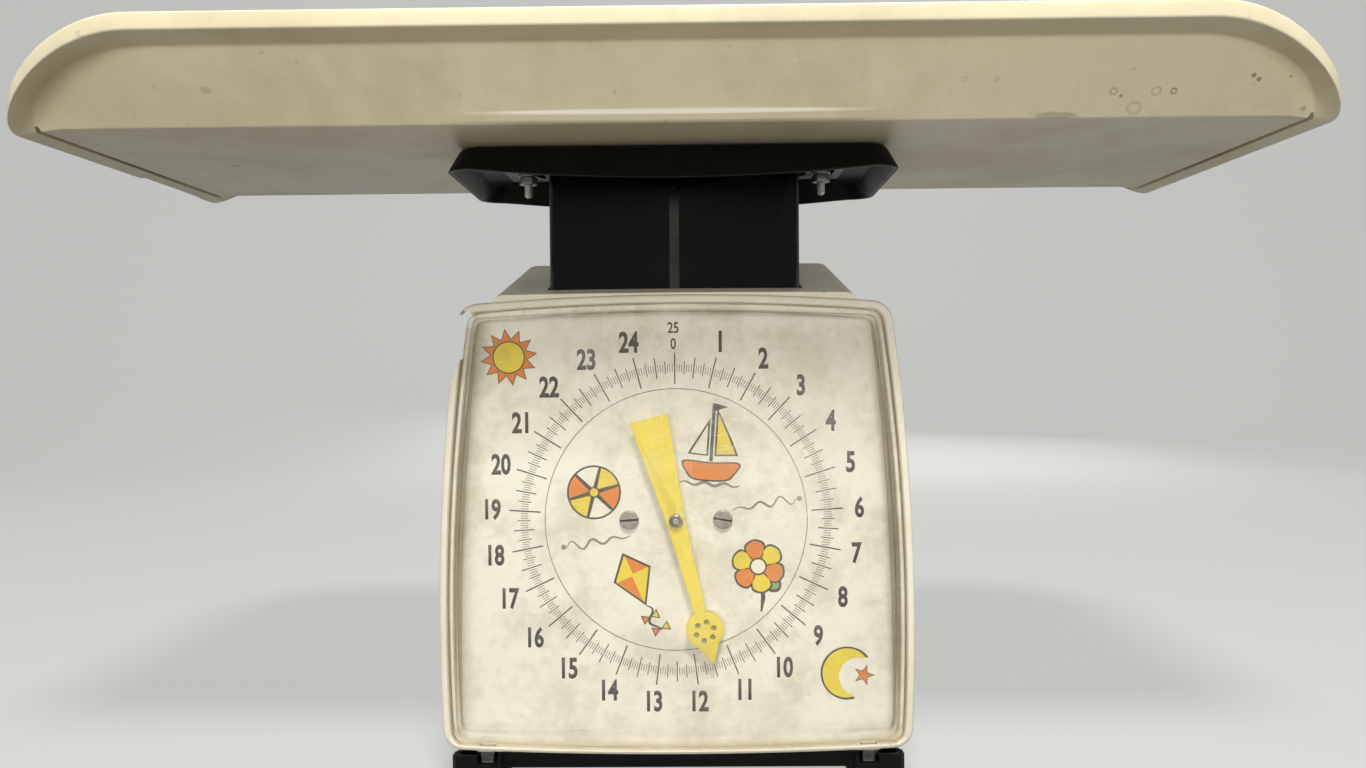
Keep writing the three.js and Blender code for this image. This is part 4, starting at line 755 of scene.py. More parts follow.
lens = {"wall": 1.8, "flangeRun": 2.2, "topHalf": 90.8, "bottomHalf": 100.2, "topDrop": 6.4, "bottomLift": 13,
        "corner": 2.4, "faceRound": 1.3, "bulge": 0.6, "play": 0.4, "inset": 12}
lensTab = {"x": 88.5, "top": 3.45, "end": 2.5, "root": 0.5, "slot": 3.85, "slotTop": 4.8, "slotFront": 2.2,
           "slotBack": 0.4}
wheel = {"rim": 6, "play": 1.5}
bottomEdge = boxOf("housing")[0].z
bezelBack = housing["front"] + housing["depth"]
recessFloor = bezelBack - housing["ledge"]
bezel = {**housing, "top": bottomEdge + housing["cornerLift"] + housing["height"],
         "bottom": bottomEdge + housing["cornerLift"]}
opening = {**bezel, "bottom": bezel["bottom"] - 1.6, "corner": 5.5}  # reaches lower than the bezel's own outline
lensBack = boxOf("lens")[1].y
pinZ = middleOf("pointer_shaft").z


def standing(outline, y):
    return [(x, y, z) for x, z in outline]


def pillow(size, inset=0.0):
    low, high = size["bottom"] + inset, size["top"] - inset
    wide, narrow = size["bottomHalf"] - inset, size["topHalf"] - inset
    corners = [Vector(p) for p in ((wide, low), (narrow, high), (-narrow, high), (-wide, low))]
    steps, sides = housing["sideSteps"], []
    for k, bulge in enumerate(("sideBulge", "topBulge", "sideBulge", "bottomBulge")):
        a, b = corners[k], corners[(k + 1) % 4]
        length = (b - a).length
        normal = Vector((b.y - a.y, a.x - b.x)) / length
        edge = size["corner"] / length
        shares = [edge + (1 - 2 * edge) * i / steps for i in range(steps + 1)]
        sides.append([a.lerp(b, t) + normal * (4 * size[bulge] * t * (1 - t)) for t in shares])
    points = []
    for k, line in enumerate(sides):
        after = (k + 1) % 4
        points += line + [between(line[-1], corners[after], sides[after][0], i / housing["cornerSteps"])
                          for i in range(1, housing["cornerSteps"])]
    return points


def pillowRings(*keys):
    return [standing(pillow(size, inset), y) for size, inset, y in keys]


def shellBody(inset, low, front):
    back, bend = shell["back"] - inset, shell["backRound"] - inset
    keys = [(inset, front)] + [(inset + bend - u, back - bend + v)
                               for u, v in arc(bend, 0, pi / 2, shell["steps"])]
    rings = []
    for inward, y in keys:
        share = (y - bezelBack) / (shell["back"] - bezelBack)
        size = {**shell, "top": bottomEdge + shell["roof"] + shell["roofRise"] * share, "bottom": low - inward}
        rings += pillowRings((size, inward, y))
    return skin(rings)


def makeHousing():
    front, lip, inner = housing["front"], housing["lip"], housing["lip"] - housing["lipInner"]
    outside = pillowRings((bezel, housing["frontInset"], front), (bezel, 0, front), (bezel, 0, bezelBack))
    piece = makePiece("housing.fine", *skin(softRings(outside, [0, housing["lipRound"], 0], 7)), creamHousing)
    boolean(piece, shellBody(0, bottomEdge, bezelBack - housing["ledge"] / 2), "UNION")
    recess = pillowRings((opening, inner, front - overcut), (opening, inner, front),
                         (opening, lip, front + housing["lipInner"]), (opening, lip, recessFloor))
    boolean(piece, skin(softRings(recess, [0, housing["lipFoot"], housing["lipFoot"], 0], 3)))
    boolean(piece, prism("y", pillow(bezel, lip + housing["ledgeRun"]), recessFloor - overcut, bezelBack + overcut))
    boolean(piece, shellBody(shell["wall"], bottomEdge - overcut, bezelBack))
    half, play = column["half"] + shell["columnPlay"], shell["columnPlay"]
    boolean(piece, boxShape((-half, half), (columnLow.y - play, columnHigh.y + play), (pinZ, columnHigh.z)))
    for x in (-lensTab["x"], lensTab["x"]):
        boolean(piece, boxShape((x - lensTab["slot"], x + lensTab["slot"]),
                                (lensBack - lensTab["slotFront"], lensBack + lensTab["slotBack"]),
                                (bottomEdge - overcut, bezel["bottom"] + lensTab["slotTop"])))
    low, high = boxOf("zero_wheel")
    reach = (high.x - low.x) / 2 + wheel["play"]
    half = sqrt(reach ** 2 - (shell["back"] - shell["wall"] - middleOf("zero_wheel").y) ** 2)
    boolean(piece, boxShape((-half, half), (shell["back"] - shell["backRound"], shell["back"] + overcut),
                            (high.z - wheel["rim"] - wheel["play"], high.z + wheel["play"])))
    drill(piece, "x", housing["screwHole"], 24, -housing["screwReach"], housing["screwReach"],
          "housing_screw_front_right", "housing_screw_rear_right")
    boolean(piece, prism("y", housing["broken"], front - overcut, bezelBack + housing["brokenPast"]))
    finishPiece(piece, "housing", degrees=32)


makeHousing()
print("housing made")


# Lens: a clear cover with a raised face, a flange and two tabs

def makeLens():
    low, high = boxOf("lens")
    front, wall, edge = low.y, lens["wall"], housing["lip"] + lens["play"]
    face = {**lens, "top": bezel["top"] - lens["topDrop"], "bottom": bezel["bottom"] + lens["bottomLift"],
            **{key: bezel[key] * lens["bulge"] for key in ("sideBulge", "topBulge", "bottomBulge")}}
    run = edge + lens["flangeRun"]
    rings = pillowRings((face, lens["inset"], front), (face, 0, front), (opening, run, lensBack - wall),
                        (opening, edge, lensBack - wall), (opening, edge, lensBack), (opening, run + wall, lensBack),
                        (face, wall, front + wall), (face, lens["inset"], front + wall))
    rings = softRings(rings, [0, lens["faceRound"], 1.2, 0.4, 0.3, 1.5, 1.2, 0], 5)
    piece = makePiece("lens.fine", *skin(rings), clearCover)
    top, end, root = lensTab["top"], lensTab["end"], opening["bottom"] + edge + lensTab["root"]
    for x in (-lensTab["x"], lensTab["x"]):
        tab = [(x - end, low.z), (x + end, low.z), (x + top, root), (x - top, root)]
        boolean(piece, prism("y", tab, lensBack - wall, lensBack), "UNION")
    finishPiece(piece, "lens", degrees=30)


makeLens()


# Dial: the plate, its graduations, numbers and small pictures

dialPin = (0, pinZ)
dial = {"face": boxOf("dial_plate")[0].y, "back": boxOf("dial_plate")[1].y, "play": 0.4, "hole": 4.5, "screwHole": 2.0,
        "print": 0.03, "circleRadius": 60.9, "circleWidth": 0.32}
number = {"radius": 85.3, "height": 9.9, "squeeze": 0.7, "weight": 0.032}
topNumber = {"rises": {"25": 89.2, "0": 81.8}, "x": -0.6, "height": 5.2, "squeeze": 0.77, "weight": 0.018}
graduations = {
    "major": {"Count": 25, "Every": 1, "Inner": 63.0, "Outer": 77.6, "Width": 0.62},
    "half": {"Count": 50, "Every": 2, "Inner": 66.0, "Outer": 75.6, "Width": 0.5},
    "quarter": {"Count": 100, "Every": 2, "Inner": 67.7, "Outer": 73.7, "Width": 0.4},
    "fine": {"Count": 400, "Every": 4, "Inner": 68.8, "Outer": 72.3, "Width": 0.26},
}


def newTree(name, inputs):
    tree = bpy.data.node_groups.new(name, "GeometryNodeTree")
    keys = {key: tree.interface.new_socket(key, in_out="INPUT", socket_type="NodeSocket" + kind).identifier
            for key, kind in {"Geometry": "Geometry", **inputs}.items()}
    tree.interface.new_socket("Geometry", in_out="OUTPUT", socket_type="NodeSocketGeometry")
    return tree, tree.nodes.new("NodeGroupInput").outputs, tree.nodes.new("NodeGroupOutput").inputs, keys


# Copies of one thing on points, each turned its own way, made real and painted.
def copiesTree(tree, put, material, **inputs):
    copies = addNode(tree, "GeometryNodeInstanceOnPoints", inputs).outputs[0]
    real = addNode(tree, "GeometryNodeRealizeInstances", {"Geometry": copies}).outputs[0]
    painted = addNode(tree, "GeometryNodeSetMaterial", {"Geometry": real, "Material": material}).outputs[0]
    feed(tree, put, {"Geometry": painted})


def graduationTree():
    tree, given, put, keys = newTree("graduations", {
        "Count": "Int", "Every": "Int", "Inner": "Float", "Outer": "Float", "Width": "Float", "Depth": "Float",
        "Centre": "Vector", "Ink": "Material"})
    length = doMath(tree, "SUBTRACT", given["Outer"], given["Inner"])
    size = addNode(tree, "ShaderNodeCombineXYZ", {0: given["Width"], 1: given["Depth"], 2: length}).outputs[0]
    mark = addNode(tree, "GeometryNodeMeshCube", {"Size": size}).outputs["Mesh"]
    lift = addNode(tree, "ShaderNodeCombineXYZ", {2: times(tree, plus(tree, given["Outer"], given["Inner"]), 0.5)})
    mark = addNode(tree, "GeometryNodeTransform", {"Geometry": mark, "Translation": lift.outputs[0]}).outputs[0]
    place = addNode(tree, "GeometryNodeMeshLine", {"Count": given["Count"], "Offset": (0, 0, 0)}).outputs["Mesh"]
    place = addNode(tree, "GeometryNodeTransform", {"Geometry": place, "Translation": given["Centre"]}).outputs[0]
    index = addNode(tree, "GeometryNodeInputIndex").outputs[0]
    angle = doMath(tree, "DIVIDE", times(tree, index, 2 * pi), given["Count"])
    turn = addNode(tree, "ShaderNodeCombineXYZ", {1: angle}).outputs[0]
    wanted = doMath(tree, "MAXIMUM", doMath(tree, "MODULO", index, given["Every"]),
                    doMath(tree, "LESS_THAN", given["Every"], 1.5))
    copiesTree(tree, put, given["Ink"], Points=place, Selection=wanted, Instance=mark, Rotation=turn)
    return tree, keys


def grow(name, treeAndKeys, data=None, **values):
    tree, keys = treeAndKeys
    piece = addObject(name, data or bpy.data.meshes.new(name))
    modifier = piece.modifiers.new("grow", "NODES")
    modifier.node_group = tree
    for key, value in values.items():
        modifier[keys[key]] = value
    applyModifiers(piece)
    return piece


# Joins what is printed on the dial into one piece.
def joinPrint(name, pieces):
    work = bmesh.new()
    for piece in pieces:
        work.from_mesh(piece.data)
    work.to_mesh(pieces[0].data)
    work.free()
    for piece in pieces[1:]:
        bpy.data.objects.remove(piece)
    pieces[0].name = name
    settle(pieces[0], "case")


def makeDialPlate():
    outline = pillow(bezel, housing["lip"] + dial["play"])
    piece = makePiece("dialPlate.fine", *prism("y", outline, dial["face"], dial["back"]), dialCard)
    boolean(piece, prism("y", circlePoints(dial["hole"], 40, dialPin), -60, -20))
    drill(piece, "y", dial["screwHole"], 24, -60, -20, "dial_screw_left", "dial_screw_right")
    finishPiece(piece, "dial_plate")


def makeGraduations():
    tree = graduationTree()
    rows = []
    for name, row in graduations.items():
        values = {**row, **{key: row[key] * mm for key in ("Inner", "Outer", "Width")}}
        rows.append(grow("marks." + name, tree, Depth=dial["print"] * mm, Ink=inks["dark"],
                         Centre=(0, (dial["face"] - dial["print"] / 2) * mm, pinZ * mm), **values))
    joinPrint("dialMarks", rows)


def makeCircleLine():
    middle, half = dial["circleRadius"], dial["circleWidth"] / 2
    front, back = dial["face"] - dial["print"], dial["face"]
    loops = [(front, middle - half), (front, middle + half), (back, middle + half), (back, middle - half)]
    settle(makePiece("dialCircle", *lathe("y", loops, dialPin, 180, True), inks["dark"]), "case")


def makeNumber(text, x, z, size):
    curve = bpy.data.curves.new("number", "FONT")
    curve.body = text
    curve.align_x = "CENTER"
    curve.size = 1.0
    curve.offset = size["weight"]
    curve.resolution_u = 3
    flat = addObject("number", curve)
    bpy.context.view_layer.update()
    data = bpy.data.meshes.new_from_object(flat.evaluated_get(bpy.context.evaluated_depsgraph_get()))
    bpy.data.objects.remove(flat)
    low, high = [Vector([pick(v.co[k] for v in data.vertices) for k in (0, 1)]) for pick in (min, max)]
    scale, middle = size["height"] / (high.y - low.y), (low + high) / 2
    for v in data.vertices:
        v.co = Vector(((v.co.x - middle.x) * scale * size["squeeze"] + x, dial["face"] - dial["print"],
                       (v.co.y - middle.y) * scale + z)) * mm
    with editedMesh(data) as work:
        bmesh.ops.remove_doubles(work, verts=work.verts, dist=weld)
        grown = bmesh.ops.extrude_face_region(work, geom=work.faces[:])["geom"]
        bmesh.ops.translate(work, verts=[v for v in grown if isinstance(v, bmesh.types.BMVert)],
                            vec=(0, dial["print"] * mm, 0))
        bmesh.ops.recalc_face_normals(work, faces=work.faces)
    data.materials.clear()
    data.materials.append(inks["dark"])
    return addObject("number", data)


def makeNumbers():
    pieces = []
    for value in range(1, 25):
        across, up = [number["radius"] * turn(2 * pi * value / 25) for turn in (sin, cos)]
        pieces.append(makeNumber(str(value), across, pinZ + up, number))
    for value, rise in topNumber["rises"].items():
        pieces.append(makeNumber(value, topNumber["x"], pinZ + rise, topNumber))
    joinPrint("dialNumbers", pieces)


makeDialPlate()
makeGraduations()
makeCircleLine()
makeNumbers()
print("dial made")


# Small pictures on the dial, each in its own millimetres from its middle

def smoothLoop(points, steps=8):
    loop = [Vector(p) for p in points]
    line = []
    for i in range(len(loop)):
        a, b, c, d = [loop[(i + k) % len(loop)] for k in (-1, 0, 1, 2)]
        for k in range(steps):
            t = k / steps
            line.append((b * 2 + (c - a) * t + (a * 2 - b * 5 + c * 4 - d) * t * t
                         + (b * 3 - a - c * 3 + d) * t * t * t) * 0.5)
    return [(p.x, p.y) for p in line]


def starPoints(points, outer, inner, middle=(0, 0)):
    return [(middle[0] + (inner if i % 2 else outer) * sin(pi * i / points),
             middle[1] + (inner if i % 2 else outer) * cos(pi * i / points)) for i in range(points * 2)]


def petal(angle, reach, width):
    along, across = Vector((sin(angle), cos(angle))), Vector((cos(angle), -sin(angle)))
    return smoothLoop([along * reach * a + across * width * b for a, b in
                       ((0.12, 0), (0.45, 0.42), (0.82, 0.5), (1, 0), (0.82, -0.5), (0.45, -0.42))])


def band(points, width):
    line = [Vector(p) for p in points]
    last = len(line) - 1
    left, right = [], []
    for i, p in enumerate(line):
        along = (line[min(i + 1, last)] - line[max(i - 1, 0)]).normalized()
        side = Vector((-along.y, along.x)) * (width / 2 * (0.35 + 0.65 * sin(pi * i / last)))
        left.append(tuple(p + side))
        right.append(tuple(p - side))
    return left + right[::-1]


def disc(radius, middle=(0, 0)):
    return circlePoints(radius, 48, middle)


def crescent(radius, bite, shift):
    outer = arc(radius, radians(55), radians(305), 40)
    start, end = outer[-1], outer[0]
    low, high = atan2(start[1], start[0] - shift), atan2(end[1], end[0] - shift)
    reach = hypot(start[0] - shift, start[1]) * bite
    return outer + arc(reach, low, low - (low - high) % (2 * pi), 40, (shift, 0))[1:-1]


# Pictures as (ink, layer, outline), the later over the earlier
def sunPicture():
    return [("dark", 1, starPoints(12, 13.4, 8.8)), ("orange", 2, starPoints(12, 12.6, 8.2)),
            ("dark", 3, disc(7.6)), ("yellow", 4, disc(7.0))]


def moonPicture():
    moon, star = crescent(12.4, 0.94, 6.0), (7.6, 1.5)
    return [("dark", 1, moon), ("yellow", 2, [(x * 0.9 - 0.3, z * 0.93) for x, z in moon]),
            ("dark", 1, starPoints(5, 5.2, 2.1, star)), ("orange", 2, starPoints(5, 4.2, 1.6, star))]


def boatPicture():
    hull = smoothLoop([(-13, -8), (-11.5, -13.5), (-7, -17), (7, -17), (11.5, -13.5), (13.4, -8), (0, -8.4)], 5)
    return [("dark", 1, hull), ("orange", 2, [(x * 0.93, -12.4 + (z + 12.4) * 0.84) for x, z in hull]),
            ("dark", 1, [(-0.8, -8), (0.8, -8), (0.8, 19), (-0.8, 19)]),
            ("dark", 1, [(1.4, -5.6), (12.6, -4.8), (8.4, 4), (1.4, 17.2)]),
            ("yellow", 2, [(2.3, -4.8), (11.2, -4.1), (7.6, 3.6), (2.3, 14.2)]),
            ("dark", 1, [(-1.4, -5.6), (-11.2, -5), (-1.4, 12)]), ("white", 2, [(-2.3, -4.9), (-9.6, -4.4), (-2.3, 9)]),
            ("dark", 1, [(0.8, 19), (0.8, 15.6), (6.6, 17.6)]),
            ("grey", 1, band([(-14 + i * 1.4, -18.6 + 0.8 * sin(i * 0.95)) for i in range(21)], 1.5))]


def flowerPicture():
    leaf, petals = radians(150), [radians(60 * i) for i in range(6)]
    return [("dark", 1, band([(0, 0), (0.6, -8), (-0.4, -15), (-2.4, -21)], 2.2)),
            ("dark", 1, petal(leaf, 15, 7)), ("green", 2, petal(leaf, 13.6, 5.4)),
            *[("dark", 3, petal(angle, 12.8, 9.4)) for angle in petals],
            *[("yellow" if i % 2 else "orange", 4, petal(angle, 11.9, 7.9)) for i, angle in enumerate(petals)],
            ("dark", 5, disc(4.1)), ("white", 6, disc(3.3))]


def ballPicture():
    fans = [[(1.9 * cos(radians(a + 30)), 1.9 * sin(radians(a + 30)))] + arc(11.7, radians(a + 3), radians(a + 57), 10)
            for a in range(0, 360, 60)]
    return [("dark", 1, disc(12.6)), *[(("yellow", "white", "orange")[i % 3], 2, fan) for i, fan in enumerate(fans)],
            ("dark", 3, disc(2.6)), ("yellow", 4, disc(1.9))]


def kitePicture():
    sail = [(0, 15), (9.5, 4), (0, -12), (-9.5, 4)]
    tail = [(1.9 * sin(i * 0.42), -12 - i * 0.7) for i in range(20)]
    shapes = [("dark", 1, sail), ("yellow", 2, [(x * 0.88, 2 + (z - 2) * 0.88) for x, z in sail]),
              ("orange", 3, [(0.4, 13), (8.0, 4.1), (0.4, 4.1)]),
              ("orange", 3, [(-0.4, 3.2), (-7.8, 3.2), (-0.4, -9.6)]), ("dark", 1, band(tail, 1.2))]
    for x, z in (tail[8], tail[18]):
        for side, name in ((-1, "orange"), (1, "yellow")):
            for shade, layer, near, far, half in (("dark", 2, 0, 4.0, 2.4), (name, 3, 0.9, 3.5, 1.6)):
                bow = [(x + side * near, z), (x + side * far, z + half), (x + side * far, z - half)]
                shapes.append((shade, layer, bow[::side]))
    return shapes


def scrollPicture():
    wave = [(-15 + i * 0.5, 2.6 * sin(i * 0.32) * (1 - i / 70)) for i in range(61)]
    return [("grey", 1, band(wave, 1.1)), ("grey", 1, disc(1.2, (-16.5, 0.4)))]


pictures = [(sunPicture, (-77, 76), 8), (moonPicture, (79, -72), -18), (boatPicture, (17, 35), -4),
            (flowerPicture, (38, -22), 10), (ballPicture, (-38, 13), 16), (kitePicture, (-19, -29), 24),
            (scrollPicture, (-36, -10), 10), (scrollPicture, (41, 7), 190)]


def makePictures():
    order, pieces = list(inks), []
    for shapes, (left, rise), degrees in pictures:
        across, up = cos(radians(degrees)), sin(radians(degrees))
        for name, layer, outline in shapes():
            placed = [(left + x * across - z * up, pinZ + rise + x * up + z * across) for x, z in outline]
            shape = prism("y", placed, dial["face"] - dial["print"] * layer, dial["face"])
            piece = makePiece("shape", *shape, *inks.values())
            piece.data.polygons.foreach_set("material_index", [order.index(name)] * len(piece.data.polygons))
            pieces.append(piece)
    joinPrint("dialPictures", pieces)


makePictures()


# Pointer with its hub and shaft

pointer = {"tip": 68.8, "headCentre": 52, "headRadius": 8.7, "shoulder": 0.3, "armWidth": 5.4, "hubWidth": 9,
           "tail": 48.7, "tailWidth": 18, "reading": 165.6, "bore": 2.4, "edge": 0.12}
dimples = {"count": 6, "ring": 4.3, "centre": 52.8, "radius": 1.35, "depth": 0.5, "turn": 8}
shaftBore = 1.68


def pointerOutline():
    p = pointer
    neck = asin(p["armWidth"] / 2 / p["headRadius"])
    right = arc(p["headRadius"], neck - pi / 2, pi * p["shoulder"], 32, (0, p["headCentre"]))
    left = [(-u, v) for u, v in right[::-1]]
    half, hub = p["tailWidth"] / 2, p["hubWidth"] / 2
    return [(-half, -p["tail"]), (half, -p["tail"]), (hub, 0), *right, (0, p["tip"]), *left, (-hub, 0)]


def makePointer():
    low, high = boxOf("pointer")
    along, across = cos(radians(pointer["reading"])), sin(radians(pointer["reading"]))

    def place(u, v):
        return u * along + v * across, pinZ - u * across + v * along

    outline = [place(u, v) for u, v in pointerOutline()]
    piece = makePiece("pointer.fine", *prism("y", outline, low.y, high.y), yellowPaint, pointerSideAndDimpleShade)
    drill(piece, "y", pointer["bore"], 40, low.y - overcut, high.y + overcut, "pointer_shaft")
    radius = dimples["radius"]
    bowl = softProfile([(low.y - 0.4, radius * 1.25, 0), (low.y, radius, 0.2),
                        (low.y + dimples["depth"], radius * 0.6, 0.3)])
    for u, v in circlePoints(dimples["ring"], dimples["count"], (0, dimples["centre"]), radians(dimples["turn"])):
        boolean(piece, lathe("y", bowl, place(u, v), 20))
    bevelPiece(piece, pointer["edge"], 2, 50)
    # The side faces take the darker olive, and the dimple hollows take it as painted shade
    for face in piece.data.polygons:
        inside = low.y + 0.05 < face.center.y / mm < high.y - 0.05
        face.material_index = 1 if inside or abs(face.normal.y) < 0.4 else 0
    finishPiece(piece, "pointer", degrees=30)


def makeHandParts():
    low, high = boxOf("pointer_hub")
    turnedPiece("pointer_hub", ringBody("y", [
        (low.y, shaftBore, 0.1), (low.y, 2.3, 0.3), (low.y + 0.5, 3.2, 0.5), (low.y + 1.5, 3.2, 0.15),
        (low.y + 1.5, 2.2, 0.1), (high.y, 2.2, 0.1), (high.y, shaftBore, 0.1)], dialPin), steelBare)
    low, high = boxOf("pointer_shaft")
    turnedPiece("pointer_shaft", lathe("y", softProfile([
        (low.y, 0.4, 0), (low.y, 1.5, 0.35), (high.y, 1.5, 0.2), (high.y, 0.4, 0)]), dialPin), zincPlate)
    low, high = boxOf("pointer_bush")
    flange = boxOf("front_plate")[0].y - 0.3
    turnedPiece("pointer_bush", ringBody("y", [
        (low.y, shaftBore, 0.15), (low.y, 4, 0.4), (flange - 1, 4, 0.1), (flange - 1, 6, 0.2), (flange, 6, 0.2),
        (flange, 4, 0.1), (high.y, 4, 0.2), (high.y, shaftBore, 0.1)], dialPin), zincPlate)


makePointer()
makeHandParts()
print("pointer made")


# Fasteners

def fastenerTree():
    tree, given, put, keys = newTree("fasteners", {"Source": "Object", "Finish": "Material"})
    source = addNode(tree, "GeometryNodeObjectInfo", {"Object": given["Source"]}).outputs["Geometry"]
    turn = addNode(tree, "GeometryNodeInputNamedAttribute", {"Name": "turn"}, data_type="FLOAT_VECTOR")
    copiesTree(tree, put, given["Finish"], Points=given["Geometry"], Instance=source,
               Rotation=turn.outputs["Attribute"])
    return tree, keys


# A threaded rod from its narrow tip to where the thread ends
def threadProfile(tip, end, pitch, root, crest, valley):
    profile = [(tip, root[0]), (tip + root[1], root[2])]
    while profile[-1][0] + pitch < end:
        at = profile[-1][0]
        profile += [(at + pitch * 0.5, crest), (at + pitch, valley)]
    return profile


# A domed screw with its seat at 0 and its tip below, with thread rings and a slot
def screwSource(size, length):
    head, radius, rise, slot = size["head"], size["radius"], size["rise"], size["slot"] / 2
    profile = threadProfile(-length, -size.get("plain", 1.2), size.get("pitch", 0.7),
                            (radius * 0.5, radius * 0.5, radius * 0.94), radius, radius * 0.86)
    profile += softProfile([(-0.9, radius * 0.98, 0), (0, radius * 0.98, 0), (0, head, 0.15),
                            (rise * 0.55, head, 0.5), (rise * 0.9, head * 0.86, 0.8), (rise, head * 0.3, 0)])
    piece = makePiece("screwSource", *lathe("z", profile, (0, 0), 36))
    boolean(piece, boxShape((-head - 1, head + 1), (-slot, slot), (rise - size["deep"], rise + 2)))
    bevelPiece(piece, 0.08, 1, 45)
    # The slot's faces are marked for painted shade, which darkens them in the finish
    deep = [abs(p.center.y) < slot * mm and 0 < p.center.z < (rise - 0.12) * mm for p in piece.data.polygons]
    piece.data.attributes.new("paintedSlotShade", "FLOAT", "FACE").data.foreach_set("value", deep)
    return piece


fasteners = fastenerTree()
plateScrew = {"head": 4, "rise": 2.2, "radius": 2, "slot": 1.0, "deep": 1.0}
screwRows = {
    "dialScrews": ("y", {"head": 4.5, "rise": 1.4, "radius": 1.6, "slot": 1.1, "deep": 1.0, "plain": 2.0},
                   {"dial_screw_left": (-1, 4), "dial_screw_right": (-1, -10)}),
    "housingScrews": ("x", {"head": 3.6, "rise": 1.8, "radius": 1.6, "slot": 0.9, "deep": 0.9},
                      {"housing_screw_front_left": (-1, 20), "housing_screw_front_right": (1, 75),
                       "housing_screw_rear_left": (-1, -35), "housing_screw_rear_right": (1, 10)}),
    "frameScrews": ("z", plateScrew, {"frame_screw_left": (1, 30), "frame_screw_right": (1, -15)}),
    "plateScrews": ("z", plateScrew, {"plate_screw_left": (1, 60), "plate_screw_right": (1, 5)}),
    "bridgeScrews": ("z", {"head": 3, "rise": 1.8, "radius": 1.6, "slot": 0.8, "deep": 0.8},
                     {"bridge_screw_left": (1, -40), "bridge_screw_right": (1, 15)}),
    "rackScrews": ("x", {"head": 2.4, "rise": 1.4, "radius": 1.2, "slot": 0.6, "deep": 0.6, "pitch": 0.5},
                   {"rack_screw_lower": (1, 12), "rack_screw_upper": (1, 70)}),
    "trayBolts": ("z", {"head": 4.2, "rise": 2, "radius": 2, "slot": 1.0, "deep": 0.9, "plain": 4.5},
                  {"tray_bolt_left": (1, 25), "tray_bolt_right": (1, -50)}),
}


# One row of equal screws: the side each faces along the axis, and its spin in degrees
def fastenerRow(name, axis, size, screws):
    index = "xyz".index(axis)
    places, turns = [], []
    for node, (side, spin) in screws.items():
        low, high = boxOf(node)
        place, out = (low + high) / 2, Vector((0, 0, 0))
        place[index] = high[index] - size["rise"] if side > 0 else low[index] + size["rise"]
        out[index] = side
        turn = Vector((0, 0, 1)).rotation_difference(out) @ Matrix.Rotation(radians(spin), 3, "Z").to_quaternion()
        places.append(place * mm)
        turns += list(turn.to_euler())
    data = bpy.data.meshes.new(name)
    data.from_pydata(places, [], [])
    data.attributes.new("turn", "FLOAT_VECTOR", "POINT").data.foreach_set("vector", turns)
    source = screwSource(size, high[index] - low[index] - size["rise"])
    row = grow(name, fasteners, data, Source=source, Finish=zincPlate)
    bpy.data.objects.remove(source)
    finishPiece(row, *screws, degrees=40)


for name, row in screwRows.items():
    fastenerRow(name, *row)
print("fasteners made")


# Rods and rivets, the same at both ends: (place from the end, radius, rounding)
pins = {
    ("carriage_rivet_left", "carriage_rivet_right"):
        (zincPlate, [(0, 0.6, 0), (0.15, 2.3, 0.8), (1.2, 3, 0.1), (1.2, 1.6, 0.1)]),
    ("upper_pivot_rod", "lower_pivot_rod", "upper_lever_rod", "lower_lever_rod"):
        (steelBare, [(0, 1.2, 0), (0, 2.0, 0.2), (0.5, 3.1, 0.5), (1.2, 3.2, 0.2), (1.2, 2.0, 0.1)]),
}


def makePin(node, material, end):
    low, high = boxOf(node)
    profile = [(low.x + at, r, bend) for at, r, bend in end] + [(high.x - at, r, bend) for at, r, bend in end[::-1]]
    turnedPiece(node, lathe("x", softProfile(profile), offAxis("x", middleOf(node)), 32), material)


def makeRubber():
    for node in ("foot_front_left", "foot_front_right", "foot_rear_left", "foot_rear_right"):
        top = boxOf(node)[1].z
        shape = lathe("z", softProfile([
            (0, 2.0, 0), (0.8, 3.4, 0.6), (0, 5.0, 0.5), (0, 7.9, 0.8), (1.1, 8.95, 0.8), (4.7, 8.95, 0.7),
            (4.7, 2.7, 0.2), (top - 2.2, 2.7, 0.2), (top - 2.2, 4, 0.3), (top - 1.1, 4, 0.5), (top, 2.5, 0.4),
            (top, 1.0, 0)]), offAxis("z", middleOf(node)), 48)
        turnedPiece(node, shape, rubberBlack)
    low, high = boxOf("overload_stop")
    turnedPiece("overload_stop", lathe("z", softProfile([
        (low.z, 3, 0), (low.z, 8, 0.8), (high.z - 6, 8, 1.5), (high.z - 6, 10, 0.8), (high.z - 1.2, 10, 0.6),
        (high.z, 8.8, 0.6), (high.z, 3, 0)]), (0, 0), 48), rubberBlack)


for nodes, (material, end) in pins.items():
    for node in nodes:
        makePin(node, material, end)
makeRubber()
print("rods and feet made")


# Springs: hooked coils of steel wire

spring = {"radius": 6, "wire": 0.9, "turns": 11, "tail": 4, "hook": 1.8, "steps": 24, "sides": 10}


def tube(points, radius, sides):
    side = Vector((1, 0, 0))
    rings = []
    for i, point in enumerate(points):
        along = (points[min(i + 1, len(points) - 1)] - points[max(i - 1, 0)]).normalized()
        side = (side - along * side.dot(along)).normalized()
        other = along.cross(side)
        rings.append([tuple(point + side * u + other * v) for u, v in circlePoints(radius, sides)])
    return skin(rings)


